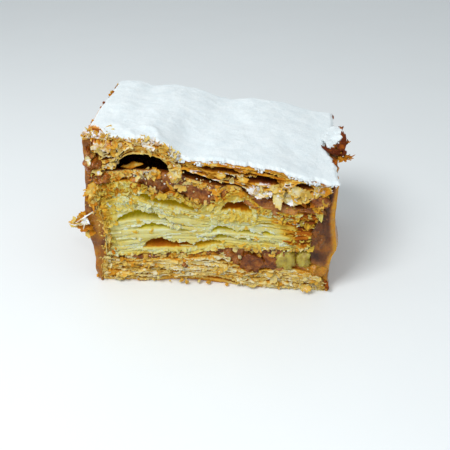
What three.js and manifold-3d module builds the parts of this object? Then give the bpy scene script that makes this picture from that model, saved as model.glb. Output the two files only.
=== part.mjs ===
// A slice of mille feuille: three sheets of puff pastry with caramel between them, cut through at the front
// and the back, coated with caramel on both ends and covered with a thick dusting of icing sugar.
// Millimetres, +Z up. +X runs along the slice and +Y from the front cut to the back one. The origin is the
// middle of the flat underside.
import * as THREE from "three";
import { mergeVertices } from "three/addons/utils/BufferGeometryUtils.js";
import Module from "manifold-3d";

const wasm = await Module();
wasm.setup();

// ---- Driving dimensions ----
const LENGTH = 90; // between the outsides of the two end coats
const DEPTH = 59; // between the two cuts
const GAP = 0.5; // kept between neighbouring pieces
const SUGAR = 1.2; // thickness of the icing sugar
const LEAF_RAGGED = 0.9; // how far a leaf's edge wanders in and out
const GROOVE = 1.7; // how far the gap between two leaves goes in
const GROOVE_SHARE = 0.13; // half the gap's height, as a share of the leaf spacing
const BETWEEN_COATS = 0.95; // about how much of the length lies between the end coats

// ---- Smooth numbers ----
const mix = (a, b, t) => a + (b - a) * t;
const clamp = (v, low, high) => Math.min(Math.max(v, low), high);
const smooth = (t) => {
  const c = clamp(t, 0, 1);
  return c * c * (3 - 2 * c);
};
const bump = (v, middle, halfWidth) => Math.exp(-(((v - middle) / halfWidth) ** 2));

// A repeatable number from 0 to 1 for a whole-numbered place.
function cell(i, j, seed) {
  const s = Math.sin(i * 127.1 + j * 311.7 + seed * 74.7) * 43758.5453;
  return s - Math.floor(s);
}

// Smooth noise from -1 to 1, with bumps about one unit wide.
function noise(x, y, seed) {
  const i = Math.floor(x);
  const j = Math.floor(y);
  const u = smooth(x - i);
  const v = smooth(y - j);
  const low = mix(cell(i, j, seed), cell(i + 1, j, seed), u);
  const high = mix(cell(i, j + 1, seed), cell(i + 1, j + 1, seed), u);
  return 2 * mix(low, high, v) - 1;
}

// A smooth curve through [where, value] pairs, level beyond its ends.
function curve(points) {
  const last = points.length - 1;
  const slopes = points.map((_, i) => {
    const [a, b] = [points[Math.max(i - 1, 0)], points[Math.min(i + 1, last)]];
    return (b[1] - a[1]) / (b[0] - a[0]);
  });
  return (x) => {
    if (x <= points[0][0]) return points[0][1];
    if (x >= points[last][0]) return points[last][1];
    const i = points.findIndex((p) => p[0] > x) - 1;
    const [[x0, z0], [x1, z1]] = [points[i], points[i + 1]];
    const h = x1 - x0;
    const t = (x - x0) / h;
    const ease = t * t * (3 - 2 * t);
    const start = t * (1 - t) ** 2 * h * slopes[i];
    const end = t * t * (t - 1) * h * slopes[i + 1];
    return mix(z0, z1, ease) + start + end;
  };
}

// ---- The heights at which one layer ends and the next begins ----
// Each is a curve along the front cut and one along the back cut, with a slow wave in between.
function boundary(front, back, wave, seed) {
  const [f, b] = [curve(front), curve(back)];
  return (x, y) => {
    const v = clamp(y / DEPTH + 0.5, 0, 1);
    return mix(f(x), b(x), smooth(v)) + wave * Math.sin(Math.PI * v) * noise(x / 17, y / 15, seed);
  };
}

const bottomTop = boundary(
  [[-45, 10.4], [-35, 10.6], [-20, 11.6], [-12, 12.4], [-5, 13.4], [1, 14.6], [5, 13], [9, 10.4], [13, 7.7],
    [19, 8.6], [27, 9.3], [34, 8.7], [45, 6.6]],
  [[-45, 11], [-25, 12.4], [-5, 11.4], [15, 10], [45, 9]],
  0.5,
  1,
);
const middleUnderside = boundary(
  [[-45, 12.6], [-33, 12.2], [-26, 13.1], [-15, 14], [-7, 15], [-1, 17], [5, 17.9], [15, 17.6], [22, 18.2],
    [31, 18.4], [45, 20]],
  [[-45, 13.6], [-25, 14.9], [-5, 15.6], [15, 15.4], [45, 16]],
  0.5,
  2,
);
const middleTop = boundary(
  [[-45, 41.6], [-40, 43.5], [-33, 44.7], [-28, 44.2], [-24, 41.2], [-19, 39.4], [-15, 40.8], [-11, 38.8],
    [-6, 36.2], [-2, 36.2], [3, 39.2], [7.5, 42.8], [11, 42], [15, 38.8], [19, 36], [26, 34.3], [45, 33]],
  [[-45, 41], [-30, 43.4], [-12, 40], [5, 38], [20, 37], [45, 33.6]],
  0.7,
  3,
);
const caramelFront = boundary(
  [[-45, 48], [-36, 48.4], [-30, 49], [-20, 49], [-15, 48.4], [-9, 46.8], [-3, 45], [3, 44.2], [8, 44.4],
    [13, 41.4], [19, 38.6], [26, 36.7], [34, 36.4], [45, 38]],
  [[-45, 47], [-25, 48.8], [-8, 46.4], [10, 43.4], [28, 41], [45, 38.5]],
  0.6,
  4,
);
const topUnderside = boundary(
  [[-45, 48.5], [-36, 49.2], [-15, 49.6], [-10, 50], [-4, 48.3], [2, 46.2], [8, 45.2], [12, 43.6],
    [16, 41.6], [21, 40.2], [25, 38.3], [31, 38.6], [37, 40.6], [45, 42]],
  [[-45, 47.6], [-25, 50], [-8, 47.6], [10, 44.6], [28, 42.2], [45, 39.6]],
  0.5,
  5,
);
// The upper caramel falls away from the top sheet by the two cuts and touches it further in.
const SLACK = { start: 3, width: 8 };
function caramelTop(x, y) {
  const fromCut = DEPTH / 2 - Math.abs(y);
  return mix(caramelFront(x, y), topUnderside(x, y) - GAP, smooth((fromCut - SLACK.start) / SLACK.width));
}
const topTop = boundary(
  [[-45, 61.2], [-38, 60.9], [-30, 60.1], [-22, 59.4], [-17, 57.4], [-12, 54], [-6, 52.6], [0, 53.1],
    [7, 52.4], [15, 51.2], [22, 50], [28, 48.3], [35, 46.6], [40, 45.7], [45, 45.6]],
  [[-45, 60], [-37, 60.2], [-30.5, 58.5], [-24, 59.2], [-18, 58.8], [-9, 56.8], [-3, 54.5], [4, 53.6],
    [10, 54.3], [17, 53.7], [25, 52.3], [31, 50.8], [38, 49.2], [45, 48.5]],
  0.8,
  6,
);

// The pocket where the top sheet has puffed up off the filling: an arch at the front that runs inwards.
const POCKET = { x: -25.3, halfWidth: 9.6, height: 6, depth: 17, end: 9 };
function pocketLift(x, y) {
  const across = Math.abs(x - POCKET.x) / POCKET.halfWidth;
  const arch = across < 1 ? Math.sqrt(1 - across ** 2.4) : 0;
  const inwards = y + DEPTH / 2;
  return POCKET.height * arch * (1 - smooth((inwards - POCKET.depth) / POCKET.end));
}

// ---- The two end coats: where their faces stand at each height ----
const leftInner = curve([[0, -44.4], [5, -43.8], [10, -42.3], [15, -41], [21, -40.6], [26, -41.4], [31, -43],
  [37, -43.9], [44, -43.8], [52, -42.8], [62, -42.8]]);
const leftOuter = curve([[0, -45.4], [5, -46.8], [10, -46.4], [15, -46.9], [21, -48], [28, -48.1],
  [34, -47.9], [40, -47], [48, -46.2], [56, -45.6], [62, -45.2]]);
const rightInner = curve([[0, 43.2], [5, 42.4], [8, 39.8], [12, 37.4], [18, 36.4], [25, 36.4], [30, 38],
  [35, 39.8], [40, 41.4], [46, 42.6], [50, 42.8]]);
const rightOuter = curve([[0, 44.6], [3, 44.3], [6, 43.4], [10, 43.8], [16, 44.5], [19.5, 45.8], [23, 45.3],
  [28, 44.4], [33, 43.8], [40, 44.3], [46, 44.9], [50, 45]]);

// ---- Meshes ----
// A geometry, and a solid that can be joined and cut, from points and triangles.
function geometryOf(points, triangles) {
  const flat = new Float32Array(points.flat());
  return new THREE.BufferGeometry()
    .setAttribute("position", new THREE.BufferAttribute(flat, 3))
    .setIndex(triangles.flat());
}

function solidOf(geometry) {
  const bare = geometry.clone();
  bare.deleteAttribute("normal");
  bare.deleteAttribute("uv");
  const merged = mergeVertices(bare, 1e-3);
  return new wasm.Manifold(
    new wasm.Mesh({
      numProp: 3,
      vertProperties: merged.attributes.position.array,
      triVerts: new Uint32Array(merged.index.array),
    }),
  );
}

function geometryFrom(solid) {
  const { numProp, numVert, vertProperties, triVerts } = solid.getMesh();
  const points = [];
  for (let i = 0; i < numVert; i++) {
    points.push([...vertProperties.subarray(i * numProp, i * numProp + 3)]);
  }
  return geometryOf(points, [[...triVerts]]);
}

// The triangles between two rows of points, which may hold different numbers of them.
function zip(near, far) {
  const triangles = [];
  const [n, m] = [near.length - 1, far.length - 1];
  for (let i = 0, k = 0; i < n || k < m; ) {
    if (k === m || (i < n && (i + 1) / n <= (k + 1) / m)) {
      triangles.push([near[i], near[i + 1], far[k]]);
      i++;
    } else {
      triangles.push([near[i], far[k + 1], far[k]]);
      k++;
    }
  }
  return triangles;
}

// One layer of the slice. Its side wall is a stack of loops, each at a share of the height between the lower
// and the upper surface and set in from the two cuts. The caps are rows of points from end to end.
function layerGeometry({ levels, lower, upper, left, right, along, rows, inside }) {
  const points = [];
  const add = (point) => points.push(point) - 1;

  const place = (level, u, v) => {
    const nearX = mix(-LENGTH / 2, LENGTH / 2, u) * BETWEEN_COATS;
    const nearY = mix(-DEPTH / 2, DEPTH / 2, v);
    const share = (x) => mix(level.share(x, 0), level.share(x, 1), v);
    const about = mix(lower(nearX, nearY), upper(nearX, nearY), share(nearX));
    const x = mix(left(about, nearY), right(about, nearY), u);
    const y = mix(-DEPTH / 2 + level.inset(x, 0), DEPTH / 2 - level.inset(x, 1), v);
    return [x, y, mix(lower(x, y), upper(x, y), share(x))];
  };

  const columns = Array.from({ length: along + 1 }, (_, i) => i / along);
  const loops = levels.map((level) => {
    const front = columns.map((u) => add(place(level, u, 0)));
    const rightEnd = rows.slice(1, -1).map((v) => add(place(level, 1, v)));
    const back = columns.map((u) => add(place(level, u, 1)));
    const leftEnd = rows.slice(1, -1).map((v) => add(place(level, 0, v)));
    return { front, rightEnd, back, leftEnd };
  });
  const around = ({ front, rightEnd, back, leftEnd }) => [
    ...front,
    ...rightEnd,
    ...[...back].reverse(),
    ...[...leftEnd].reverse(),
    front[0],
  ];

  const cap = (level, { front, rightEnd, back, leftEnd }) => {
    const middle = rows.slice(1, -1).map((v, j) => {
      const between = Array.from({ length: inside - 1 }, (_, i) => add(place(level, (i + 1) / inside, v)));
      return [leftEnd[j], ...between, rightEnd[j]];
    });
    const lines = [front, ...middle, back];
    return lines.slice(1).flatMap((line, j) => zip(lines[j], line));
  };

  const last = levels.length - 1;
  const walls = loops.slice(1).flatMap((loop, k) => zip(around(loops[k]), around(loop)));
  const top = cap(levels[last], loops[last]);
  const bottom = cap(levels[0], loops[0]).map(([a, b, c]) => [a, c, b]);
  return geometryOf(points, [...walls, ...top, ...bottom]);
}

// The loops of a sheet of leaves: each leaf has a flat ragged edge, and a groove parts it from the next.
// A hollow widens and deepens one groove, on the front cut (face 0) or the back one (face 1).
function leafLevels({ leaves, seed, hollows = [], tuck = () => 0, thickness }) {
  const open = (k, x, face, size) =>
    hollows
      .filter((h) => h.groove === k && h.face === face)
      .reduce((sum, h) => sum + h[size] * bump(x, h.x, h.halfWidth), 0);
  const grooveShare = (k, x, face) => (k + 0.22 * noise(x / 14, k * 3.1 + face * 9, seed)) / leaves;
  const halfGroove = (k, x, face) => GROOVE_SHARE / leaves + open(k, x, face, "height") / 2 / thickness;
  const ragged = (k, x, face) => LEAF_RAGGED * noise(x / 2.9, k * 2.3 + face * 31, seed + 10);
  const sunk = (k, x, face) =>
    GROOVE * (1 + 0.5 * noise(x / 6, k * 1.9 + face * 17, seed + 20)) + open(k, x, face, "depth");

  const levels = [];
  for (let k = 0; k < leaves; k++) {
    const edge = (x, face) => ragged(k, x, face) + tuck(k, x, face);
    const start = k ? (x, face) => grooveShare(k, x, face) + halfGroove(k, x, face) : () => 0;
    const finish = (x, face) => grooveShare(k + 1, x, face) - halfGroove(k + 1, x, face);
    levels.push({ share: start, inset: edge });
    if (k === leaves - 1) {
      levels.push({ share: () => 1, inset: edge });
    } else {
      const groove = k + 1;
      levels.push({ share: finish, inset: edge });
      levels.push({
        share: (x, face) => grooveShare(groove, x, face),
        inset: (x, face) => edge(x, face) + sunk(groove, x, face),
      });
    }
  }
  return levels;
}

// The loops of a caramel layer, which bulges out of the cuts in soft lobes.
function caramelLevels(seed) {
  const lobes = (x, face, k) => 0.5 - 1.1 * Math.max(0, noise(x / 6, face * 13 + k * 0.4, seed));
  return [
    { share: () => 0, inset: (x, face) => 1.2 + 0.3 * noise(x / 4, face * 5, seed) },
    { share: () => 0.3, inset: (x, face) => lobes(x, face, 0) },
    { share: () => 0.72, inset: (x, face) => lobes(x, face, 1) + 0.2 },
    { share: () => 1, inset: (x, face) => 1.3 + 0.4 * noise(x / 5, face * 7, seed + 1) },
  ];
}

// A closed shell between two grids of points of the same size.
function shellGeometry(outer, inner) {
  const [m, n] = [outer.length, outer[0].length];
  const points = [...outer.flat(), ...inner.flat()];
  const outside = (j, i) => j * n + i;
  const within = (j, i) => m * n + j * n + i;
  const triangles = [];
  const quad = (a, b, c, d) => triangles.push([a, b, c], [a, c, d]);
  for (let j = 0; j < m - 1; j++) {
    for (let i = 0; i < n - 1; i++) {
      quad(outside(j, i), outside(j, i + 1), outside(j + 1, i + 1), outside(j + 1, i));
      quad(within(j, i), within(j + 1, i), within(j + 1, i + 1), within(j, i + 1));
    }
    quad(within(j, 0), outside(j, 0), outside(j + 1, 0), within(j + 1, 0));
    quad(outside(j, n - 1), within(j, n - 1), within(j + 1, n - 1), outside(j + 1, n - 1));
  }
  for (let i = 0; i < n - 1; i++) {
    quad(outside(0, i), within(0, i), within(0, i + 1), outside(0, i + 1));
    quad(outside(m - 1, i), outside(m - 1, i + 1), within(m - 1, i + 1), within(m - 1, i));
  }
  return geometryOf(points, triangles);
}

// A torn flake: a thin ragged disc, bent over its width, then turned and put in its place.
function flakeSolid({ at, size, turn = [0, 0, 0], thick = 0.6, bend = 1, seed }) {
  const corners = 10;
  const rim = Array.from({ length: corners }, (_, i) => {
    const angle = (2 * Math.PI * (i + 0.5 * cell(i, 5, seed))) / corners;
    const reach = 0.68 + 0.42 * cell(i, 1, seed);
    const [across, along] = [reach * Math.cos(angle), reach * Math.sin(angle)];
    const lift = bend * across * across + 0.4 * (cell(i, 2, seed) - 0.5);
    return [(size[0] / 2) * across, (size[1] / 2) * along, lift];
  });
  const under = [...rim, [0, 0, 0]].map(([x, y, z]) => [x, y, z - thick / 2]);
  const over = [...rim, [0, 0, 0]].map(([x, y, z]) => [x, y, z + thick / 2]);
  const triangles = rim.flatMap((_, i) => {
    const next = (i + 1) % corners;
    const [a, b, c, d] = [i, next, i + corners + 1, next + corners + 1];
    return [[corners, b, a], [2 * corners + 1, c, d], [a, b, d], [a, d, c]];
  });
  const [rx, ry, rz] = turn.map(THREE.MathUtils.degToRad);
  const placed = geometryOf([...under, ...over], triangles)
    .applyMatrix4(new THREE.Matrix4().makeRotationFromEuler(new THREE.Euler(rx, ry, rz)))
    .translate(...at);
  return solidOf(placed);
}

// A lump between a ball and a block, with uneven sides.
function lumpSolid({ at, size, seed, grow = 0 }) {
  const ball = mergeVertices(stripped(new THREE.IcosahedronGeometry(1, 1)), 1e-3);
  const p = ball.attributes.position;
  for (let i = 0; i < p.count; i++) {
    const v = new THREE.Vector3().fromBufferAttribute(p, i);
    const reach = 1 + 0.16 * (2 * cell(i, 3, seed) - 1);
    const block = 1 / Math.max(Math.abs(v.x), Math.abs(v.y), Math.abs(v.z));
    const out = mix(1, block, 0.8) * reach * 0.86;
    p.setXYZ(
      i,
      at[0] + v.x * out * (size[0] / 2 + grow),
      at[1] + v.y * out * (size[1] / 2 + grow),
      at[2] + v.z * out * (size[2] / 2 + grow),
    );
  }
  return solidOf(ball);
}

function stripped(geometry) {
  geometry.deleteAttribute("normal");
  geometry.deleteAttribute("uv");
  return geometry;
}

const joined = (geometry, solids) => geometryFrom(solids.reduce((sum, s) => sum.add(s), solidOf(geometry)));

// ---- The pieces ----
const CLEAR = 0.6; // between a layer's ends and the coats, whose faces are coarser
const ALONG = 30; // columns of points along the two cuts
const INSIDE = 15; // and along the inner rows of a cap
const ROWS = [0, 0.07, 0.22, 0.5, 0.78, 0.93, 1];
const pastryEnds = {
  left: (z) => leftInner(z) + CLEAR,
  right: (z) => rightInner(z) - CLEAR,
};
const above = (surface) => (x, y) => surface(x, y) + GAP / 2;
const below = (surface) => (x, y) => surface(x, y) - GAP / 2;

function bottomPastry() {
  // The lowest leaves draw back from the front cut in the middle of the slice.
  const tuck = (k, x, face) => (face === 0 ? (2.6 - k) * bump(x, -8, 19) * (k < 3 ? 1 : 0) : 0.3);
  return layerGeometry({
    levels: leafLevels({ leaves: 4, seed: 40, tuck, thickness: 10 }),
    lower: () => 0,
    upper: below(bottomTop),
    ...pastryEnds,
    along: ALONG,
    rows: ROWS,
    inside: INSIDE,
  });
}

function middlePastry() {
  const front = [
    { groove: 1, x: -20, halfWidth: 7, height: 2.4, depth: 4.5 },
    { groove: 1, x: -2, halfWidth: 5.5, height: 1.6, depth: 3 },
    { groove: 3, x: -17, halfWidth: 8, height: 1, depth: 1.6 },
    { groove: 3, x: 11, halfWidth: 11, height: 1, depth: 2 },
    { groove: 4, x: -27, halfWidth: 7, height: 2.3, depth: 3 },
    { groove: 6, x: -13, halfWidth: 7, height: 1.6, depth: 3 },
    { groove: 6, x: 9, halfWidth: 5.5, height: 2.6, depth: 5 },
  ].map((hollow) => ({ ...hollow, face: 0 }));
  const back = [
    { groove: 2, x: 12, halfWidth: 8, height: 2, depth: 4 },
    { groove: 4, x: -14, halfWidth: 9, height: 2.2, depth: 3.5 },
    { groove: 5, x: 20, halfWidth: 7, height: 1.4, depth: 3 },
  ].map((hollow) => ({ ...hollow, face: 1 }));
  return layerGeometry({
    levels: leafLevels({ leaves: 7, seed: 50, hollows: [...front, ...back], thickness: 23 }),
    lower: above(middleUnderside),
    upper: below(middleTop),
    ...pastryEnds,
    along: ALONG,
    rows: ROWS,
    inside: INSIDE,
  });
}

function topPastry() {
  const geometry = layerGeometry({
    levels: leafLevels({
      leaves: 4,
      seed: 60,
      hollows: [
        { groove: 1, face: 0, x: 16, halfWidth: 6, height: 1, depth: 3 },
        { groove: 3, face: 0, x: 3, halfWidth: 7, height: 0.8, depth: 3 },
        { groove: 2, face: 0, x: 31, halfWidth: 4, height: 0.8, depth: 2.5 },
        { groove: 2, face: 1, x: -6, halfWidth: 9, height: 1, depth: 3 },
      ],
      thickness: 8,
    }),
    lower: (x, y) => above(topUnderside)(x, y) + pocketLift(x, y),
    upper: below(topTop),
    ...pastryEnds,
    along: ALONG,
    rows: ROWS,
    inside: ALONG,
  });
  const front = -DEPTH / 2;
  const flakes = [
    { at: [24.5, front - 0.3, 41], size: [6, 7.5], turn: [78, 12, 0], seed: 3 },
    { at: [15.5, front - 0.5, 42.8], size: [9, 4], turn: [30, 12, 4], seed: 4 },
    { at: [31.5, front - 0.3, 42.6], size: [7.5, 6], turn: [62, -8, 0], seed: 5 },
    { at: [-14, front, 50.8], size: [4.5, 5], turn: [70, 20, 0], seed: 6 },
    { at: [6, front - 0.5, 50.4], size: [10, 4], turn: [20, 4, 0], seed: 7 },
    { at: [-38.5, front, 55.5], size: [8, 6], turn: [70, -6, 0], seed: 8 },
  ];
  return joined(geometry, flakes.map(flakeSolid));
}

function caramelLayer(lower, upper, seed) {
  return layerGeometry({
    levels: caramelLevels(seed),
    lower: above(lower),
    upper,
    ...pastryEnds,
    along: ALONG,
    rows: ROWS,
    inside: INSIDE,
  });
}

// Two pale pieces lie in the lower caramel at the front, near its right end.
const PALE_PIECES = [
  { at: [26.6, -27.8, 13.6], size: [5, 5.4, 6], seed: 2 },
  { at: [32.9, -27.7, 13.9], size: [4.4, 5, 5.6], seed: 9 },
];

function lowerCaramel() {
  const layer = solidOf(caramelLayer(bottomTop, below(middleUnderside), 70));
  const beds = PALE_PIECES.map((piece) => lumpSolid({ ...piece, grow: 0.4 }));
  return geometryFrom(beds.reduce((rest, bed) => rest.subtract(bed), layer));
}

// A loose scrap of browned pastry stands out over the right edge, where the sugar is drawn back from it.
const SCRAP = { y: -1.5, halfWidth: 8, reach: 4.5 };

function icingSugar() {
  const sugarLeft = (z, y) => -LENGTH / 2 - 0.7 + 0.5 * noise(y / 6, 3, 80);
  const sugarRight = (z, y) =>
    LENGTH / 2 - 0.2 + 0.5 * noise(y / 6, 8, 81) - SCRAP.reach * bump(y, SCRAP.y, SCRAP.halfWidth);
  // The sugar leaves the front left corner bare, and a small bay above the pocket.
  const edge = (x, face) => {
    const fringe = 0.3 + 0.7 * noise(x / 3, face * 19, 82);
    return face ? fringe : fringe + 7 * bump(x, -44, 5) + 2.6 * bump(x, -20, 2.5);
  };
  // A blister ring over the pocket, a dent near the middle and one by the left end.
  const relief = (x, y) => {
    const fromBlister = Math.hypot(x + 25, y + 23.5) - 5;
    const ring = 0.7 * Math.exp(-((fromBlister / 1.6) ** 2));
    const dents = 0.8 * bump(x, 9, 4) * bump(y, 4, 4) + 0.5 * bump(x, -40, 3) * bump(y, -8, 4);
    return ring - dents + 0.35 * noise(x / 6, y / 6, 83);
  };
  const inside = (x, y) => smooth((DEPTH / 2 - Math.abs(y)) / 4) * smooth((LENGTH / 2 - Math.abs(x)) / 4);
  return layerGeometry({
    levels: [
      { share: () => 0, inset: (x, face) => edge(x, face) + 0.4 },
      { share: () => 0.45, inset: edge },
      { share: () => 1, inset: (x, face) => edge(x, face) + 0.9 },
    ],
    lower: above(topTop),
    upper: (x, y) => topTop(x, y) + SUGAR + relief(x, y) * inside(x, y),
    left: sugarLeft,
    right: sugarRight,
    along: ALONG,
    rows: [0, 0.04, 0.1, 0.17, 0.24, 0.32, 0.4, 0.48, 0.56, 0.64, 0.72, 0.8, 0.88, 0.95, 1],
    inside: ALONG,
  });
}

// A coat on one end: rows from the base to the sugar, columns from the front cut to the back one.
function coatGeometry(side, innerFace, outerFace, seed) {
  const [columns, lines, base] = [10, 14, 0.35];
  const grid = (face, wander, pull) =>
    Array.from({ length: lines + 1 }, (_, j) =>
      Array.from({ length: columns + 1 }, (_, i) => {
        const v = i / columns;
        const cut = DEPTH / 2 - pull - 0.5 * Math.abs(noise(j / 2, i, seed));
        const y = mix(-cut, cut, v);
        const top = topTop((side * LENGTH) / 2, y) - GAP / 2;
        const z = mix(base, top, j / lines);
        const waves = noise(y / 12, z / 8, seed) + 0.5 * noise(y / 6, z / 13, seed + 1);
        return [face(z) + side * wander * waves * Math.sin(Math.PI * v), y, z];
      }),
    );
  const outer = grid(outerFace, 0.7, 0.4);
  const inner = grid(innerFace, 0, 0);
  return side > 0 ? shellGeometry(outer, inner) : shellGeometry(inner, outer);
}

function leftCoat() {
  const scraps = [
    { at: [-49.3, -27.6, 28.4], size: [6, 9], turn: [72, 0, 14], seed: 11 },
    { at: [-50.8, -27, 25.6], size: [7.6, 4.4], turn: [50, -24, 8], seed: 12 },
    { at: [-48.3, -27.4, 22.8], size: [5, 5], turn: [64, 20, 0], seed: 13 },
  ];
  return joined(coatGeometry(-1, leftInner, leftOuter, 90), scraps.map(flakeSolid));
}

function rightCoat() {
  const scraps = [
    { at: [45.6, SCRAP.y, 47.4], size: [6.4, 13], turn: [4, -14, 6], thick: 0.9, bend: 0.8, seed: 21 },
    { at: [47.6, SCRAP.y - 4.6, 47.8], size: [5, 6], turn: [-10, -20, 20], thick: 0.8, seed: 22 },
    { at: [46.6, SCRAP.y + 6, 48.6], size: [4.4, 8], turn: [10, -20, -8], thick: 0.8, seed: 23 },
  ];
  return joined(coatGeometry(1, rightInner, rightOuter, 91), scraps.map(flakeSolid));
}

// ---- The slice ----
const COLOURS = {
  crisp: { color: 0xd9a24e, roughness: 0.75 },
  pale: { color: 0xe2d48e, roughness: 0.7 },
  caramel: { color: 0x8a4a24, roughness: 0.3 },
  pieces: { color: 0xc4a954, roughness: 0.45 },
  sugar: { color: 0xf2f5f7, roughness: 0.95 },
};

const slice = new THREE.Group();
function put(name, geometry, look) {
  const mesh = new THREE.Mesh(geometry, new THREE.MeshStandardMaterial({ ...COLOURS[look], metalness: 0 }));
  mesh.name = name;
  slice.add(mesh);
}

put("bottom_pastry", bottomPastry(), "crisp");
put("lower_caramel", lowerCaramel(), "caramel");
put("middle_pastry", middlePastry(), "pale");
put("upper_caramel", caramelLayer(middleTop, caramelTop, 71), "caramel");
put("top_pastry", topPastry(), "crisp");
put("icing_sugar", icingSugar(), "sugar");
put("left_caramel_coat", leftCoat(), "caramel");
put("right_caramel_coat", rightCoat(), "caramel");
PALE_PIECES.forEach((piece, i) => put("pale_piece_" + (i + 1), geometryFrom(lumpSolid(piece)), "pieces"));

export default slice;
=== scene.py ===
"""A slice of mille feuille. Three sheets of puff pastry are built leaf by leaf, with caramel between them and
down both ends, icing sugar on top, and the torn flakes and crumbs that a knife leaves on the two cuts.
Lengths are in millimetres until a piece becomes a mesh. +X runs along the slice, +Y from the front cut to the
back one, +Z up."""

import math

import bpy
import numpy as np
from mathutils import Matrix
from numpy.random import default_rng


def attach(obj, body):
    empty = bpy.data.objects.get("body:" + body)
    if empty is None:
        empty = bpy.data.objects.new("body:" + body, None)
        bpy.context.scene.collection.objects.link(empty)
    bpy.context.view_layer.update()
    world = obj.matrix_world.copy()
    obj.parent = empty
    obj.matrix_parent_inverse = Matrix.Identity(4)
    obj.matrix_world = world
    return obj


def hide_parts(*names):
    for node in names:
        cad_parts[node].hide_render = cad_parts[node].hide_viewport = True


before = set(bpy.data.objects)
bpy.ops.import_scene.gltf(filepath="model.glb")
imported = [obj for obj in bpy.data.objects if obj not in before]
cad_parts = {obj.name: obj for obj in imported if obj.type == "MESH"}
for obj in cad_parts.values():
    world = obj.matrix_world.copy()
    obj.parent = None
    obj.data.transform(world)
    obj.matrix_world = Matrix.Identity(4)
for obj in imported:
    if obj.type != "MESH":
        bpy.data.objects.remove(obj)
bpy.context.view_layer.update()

# ---- Driving dimensions ----
MM = 0.001
LENGTH, DEPTH = 90.0, 59.0
FRONT, BACK = -DEPTH / 2, DEPTH / 2
SUGAR = 1.2  # thickness of the icing sugar
CREASE = 50  # degrees between two faces from which their edge is sharp


# ---- Camera ----
def put(thing, across, up, back, place):
    """Adds a camera or lamp, given where its own X, Y and Z axes point and its place in metres."""
    axes = np.column_stack([across, up, back, place])
    thing.matrix_world = Matrix([*axes.tolist(), [0, 0, 0, 1]])
    bpy.context.collection.objects.link(thing)


def make_camera():
    """The camera looks down on the front cut, turned a little to the left, through a lens of 52.8 mm."""
    place = (22.68, -236.06, 155.96)
    turn, tilt, roll = (math.radians(a) for a in (-5.09, 31.71, -0.13))
    forward = np.array([math.sin(turn) * math.cos(tilt), math.cos(turn) * math.cos(tilt), -math.sin(tilt)])
    level = np.array([math.cos(turn), -math.sin(turn), 0])
    up = np.cross(level, forward)
    across = math.cos(roll) * level + math.sin(roll) * up
    upright = math.cos(roll) * up - math.sin(roll) * level
    camera = bpy.data.objects.new("camera", bpy.data.cameras.new("camera"))
    camera.data.lens, camera.data.sensor_width = 52.8, 36
    put(camera, across, upright, -forward, np.array(place) * MM)
    bpy.context.scene.camera = camera


make_camera()


# ---- Numbers over arrays ----
def between(a, b, t):
    """The value a share t of the way from a to b."""
    return a + (b - a) * t


def smooth(t):
    """0 below 0, 1 above 1, and 3t^2 - 2t^3 from one to the other."""
    t = np.clip(t, 0, 1)
    return t * t * (3 - 2 * t)


def bump(v, middle, half_width):
    """A bell of height 1: e to the minus square of the distance in half widths."""
    return np.exp(-(((v - middle) / half_width) ** 2))


def cell(i, j, seed):
    """A repeatable number from 0 to 1 for a whole-numbered place: the fraction of a large sine."""
    s = np.sin(i * 127.1 + j * 311.7 + seed * 74.7) * 43758.5453
    return s - np.floor(s)


def noise(x, y, seed):
    """Smooth noise from -1 to 1: the cells' numbers, blended over each unit square."""
    x, y = np.broadcast_arrays(np.asarray(x, float), np.asarray(y, float))
    i, j = np.floor(x), np.floor(y)
    u, v = smooth(x - i), smooth(y - j)
    low = between(cell(i, j, seed), cell(i + 1, j, seed), u)
    high = between(cell(i, j + 1, seed), cell(i + 1, j + 1, seed), u)
    return 2 * between(low, high, v) - 1


def layered(x, y, seed, octaves=3):
    """Noise on itself, each time at half the size and half the height."""
    return sum(noise(x * 2**n, y * 2**n, seed + 5 * n) / 2**n for n in range(octaves))


def crests(x, y, seed):
    """Noise folded at zero, so that it has sharp crests at 1 and hollows towards -1."""
    return 1 - 2 * np.abs(noise(x, y, seed))


def curve(points):
    """A line through [where, value] pairs: cubic pieces with the slopes of the chords beside each pair."""
    xs, zs = np.array(points, float).T
    before, after = np.maximum(np.arange(len(xs)) - 1, 0), np.minimum(np.arange(len(xs)) + 1, len(xs) - 1)
    slopes = (zs[after] - zs[before]) / (xs[after] - xs[before])

    def value(x):
        x = np.clip(x, xs[0], xs[-1])
        i = np.clip(np.searchsorted(xs, x, side="right") - 1, 0, len(xs) - 2)
        h = xs[i + 1] - xs[i]
        t = (x - xs[i]) / h
        start, end = t * (1 - t) ** 2 * h * slopes[i], t * t * (t - 1) * h * slopes[i + 1]
        return between(zs[i], zs[i + 1], smooth(t)) + start + end

    return value


# ---- Where one layer ends and the next begins ----
def boundary(front, back, wave, seed):
    """A height over (x, y): a curve along the front cut, one along the back cut and a slow wave between."""
    f, b = curve(front), curve(back)

    def height(x, y):
        v = np.clip(y / DEPTH + 0.5, 0, 1)
        return between(f(x), b(x), smooth(v)) + wave * np.sin(np.pi * v) * noise(x / 17, y / 15, seed)

    return height


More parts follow.
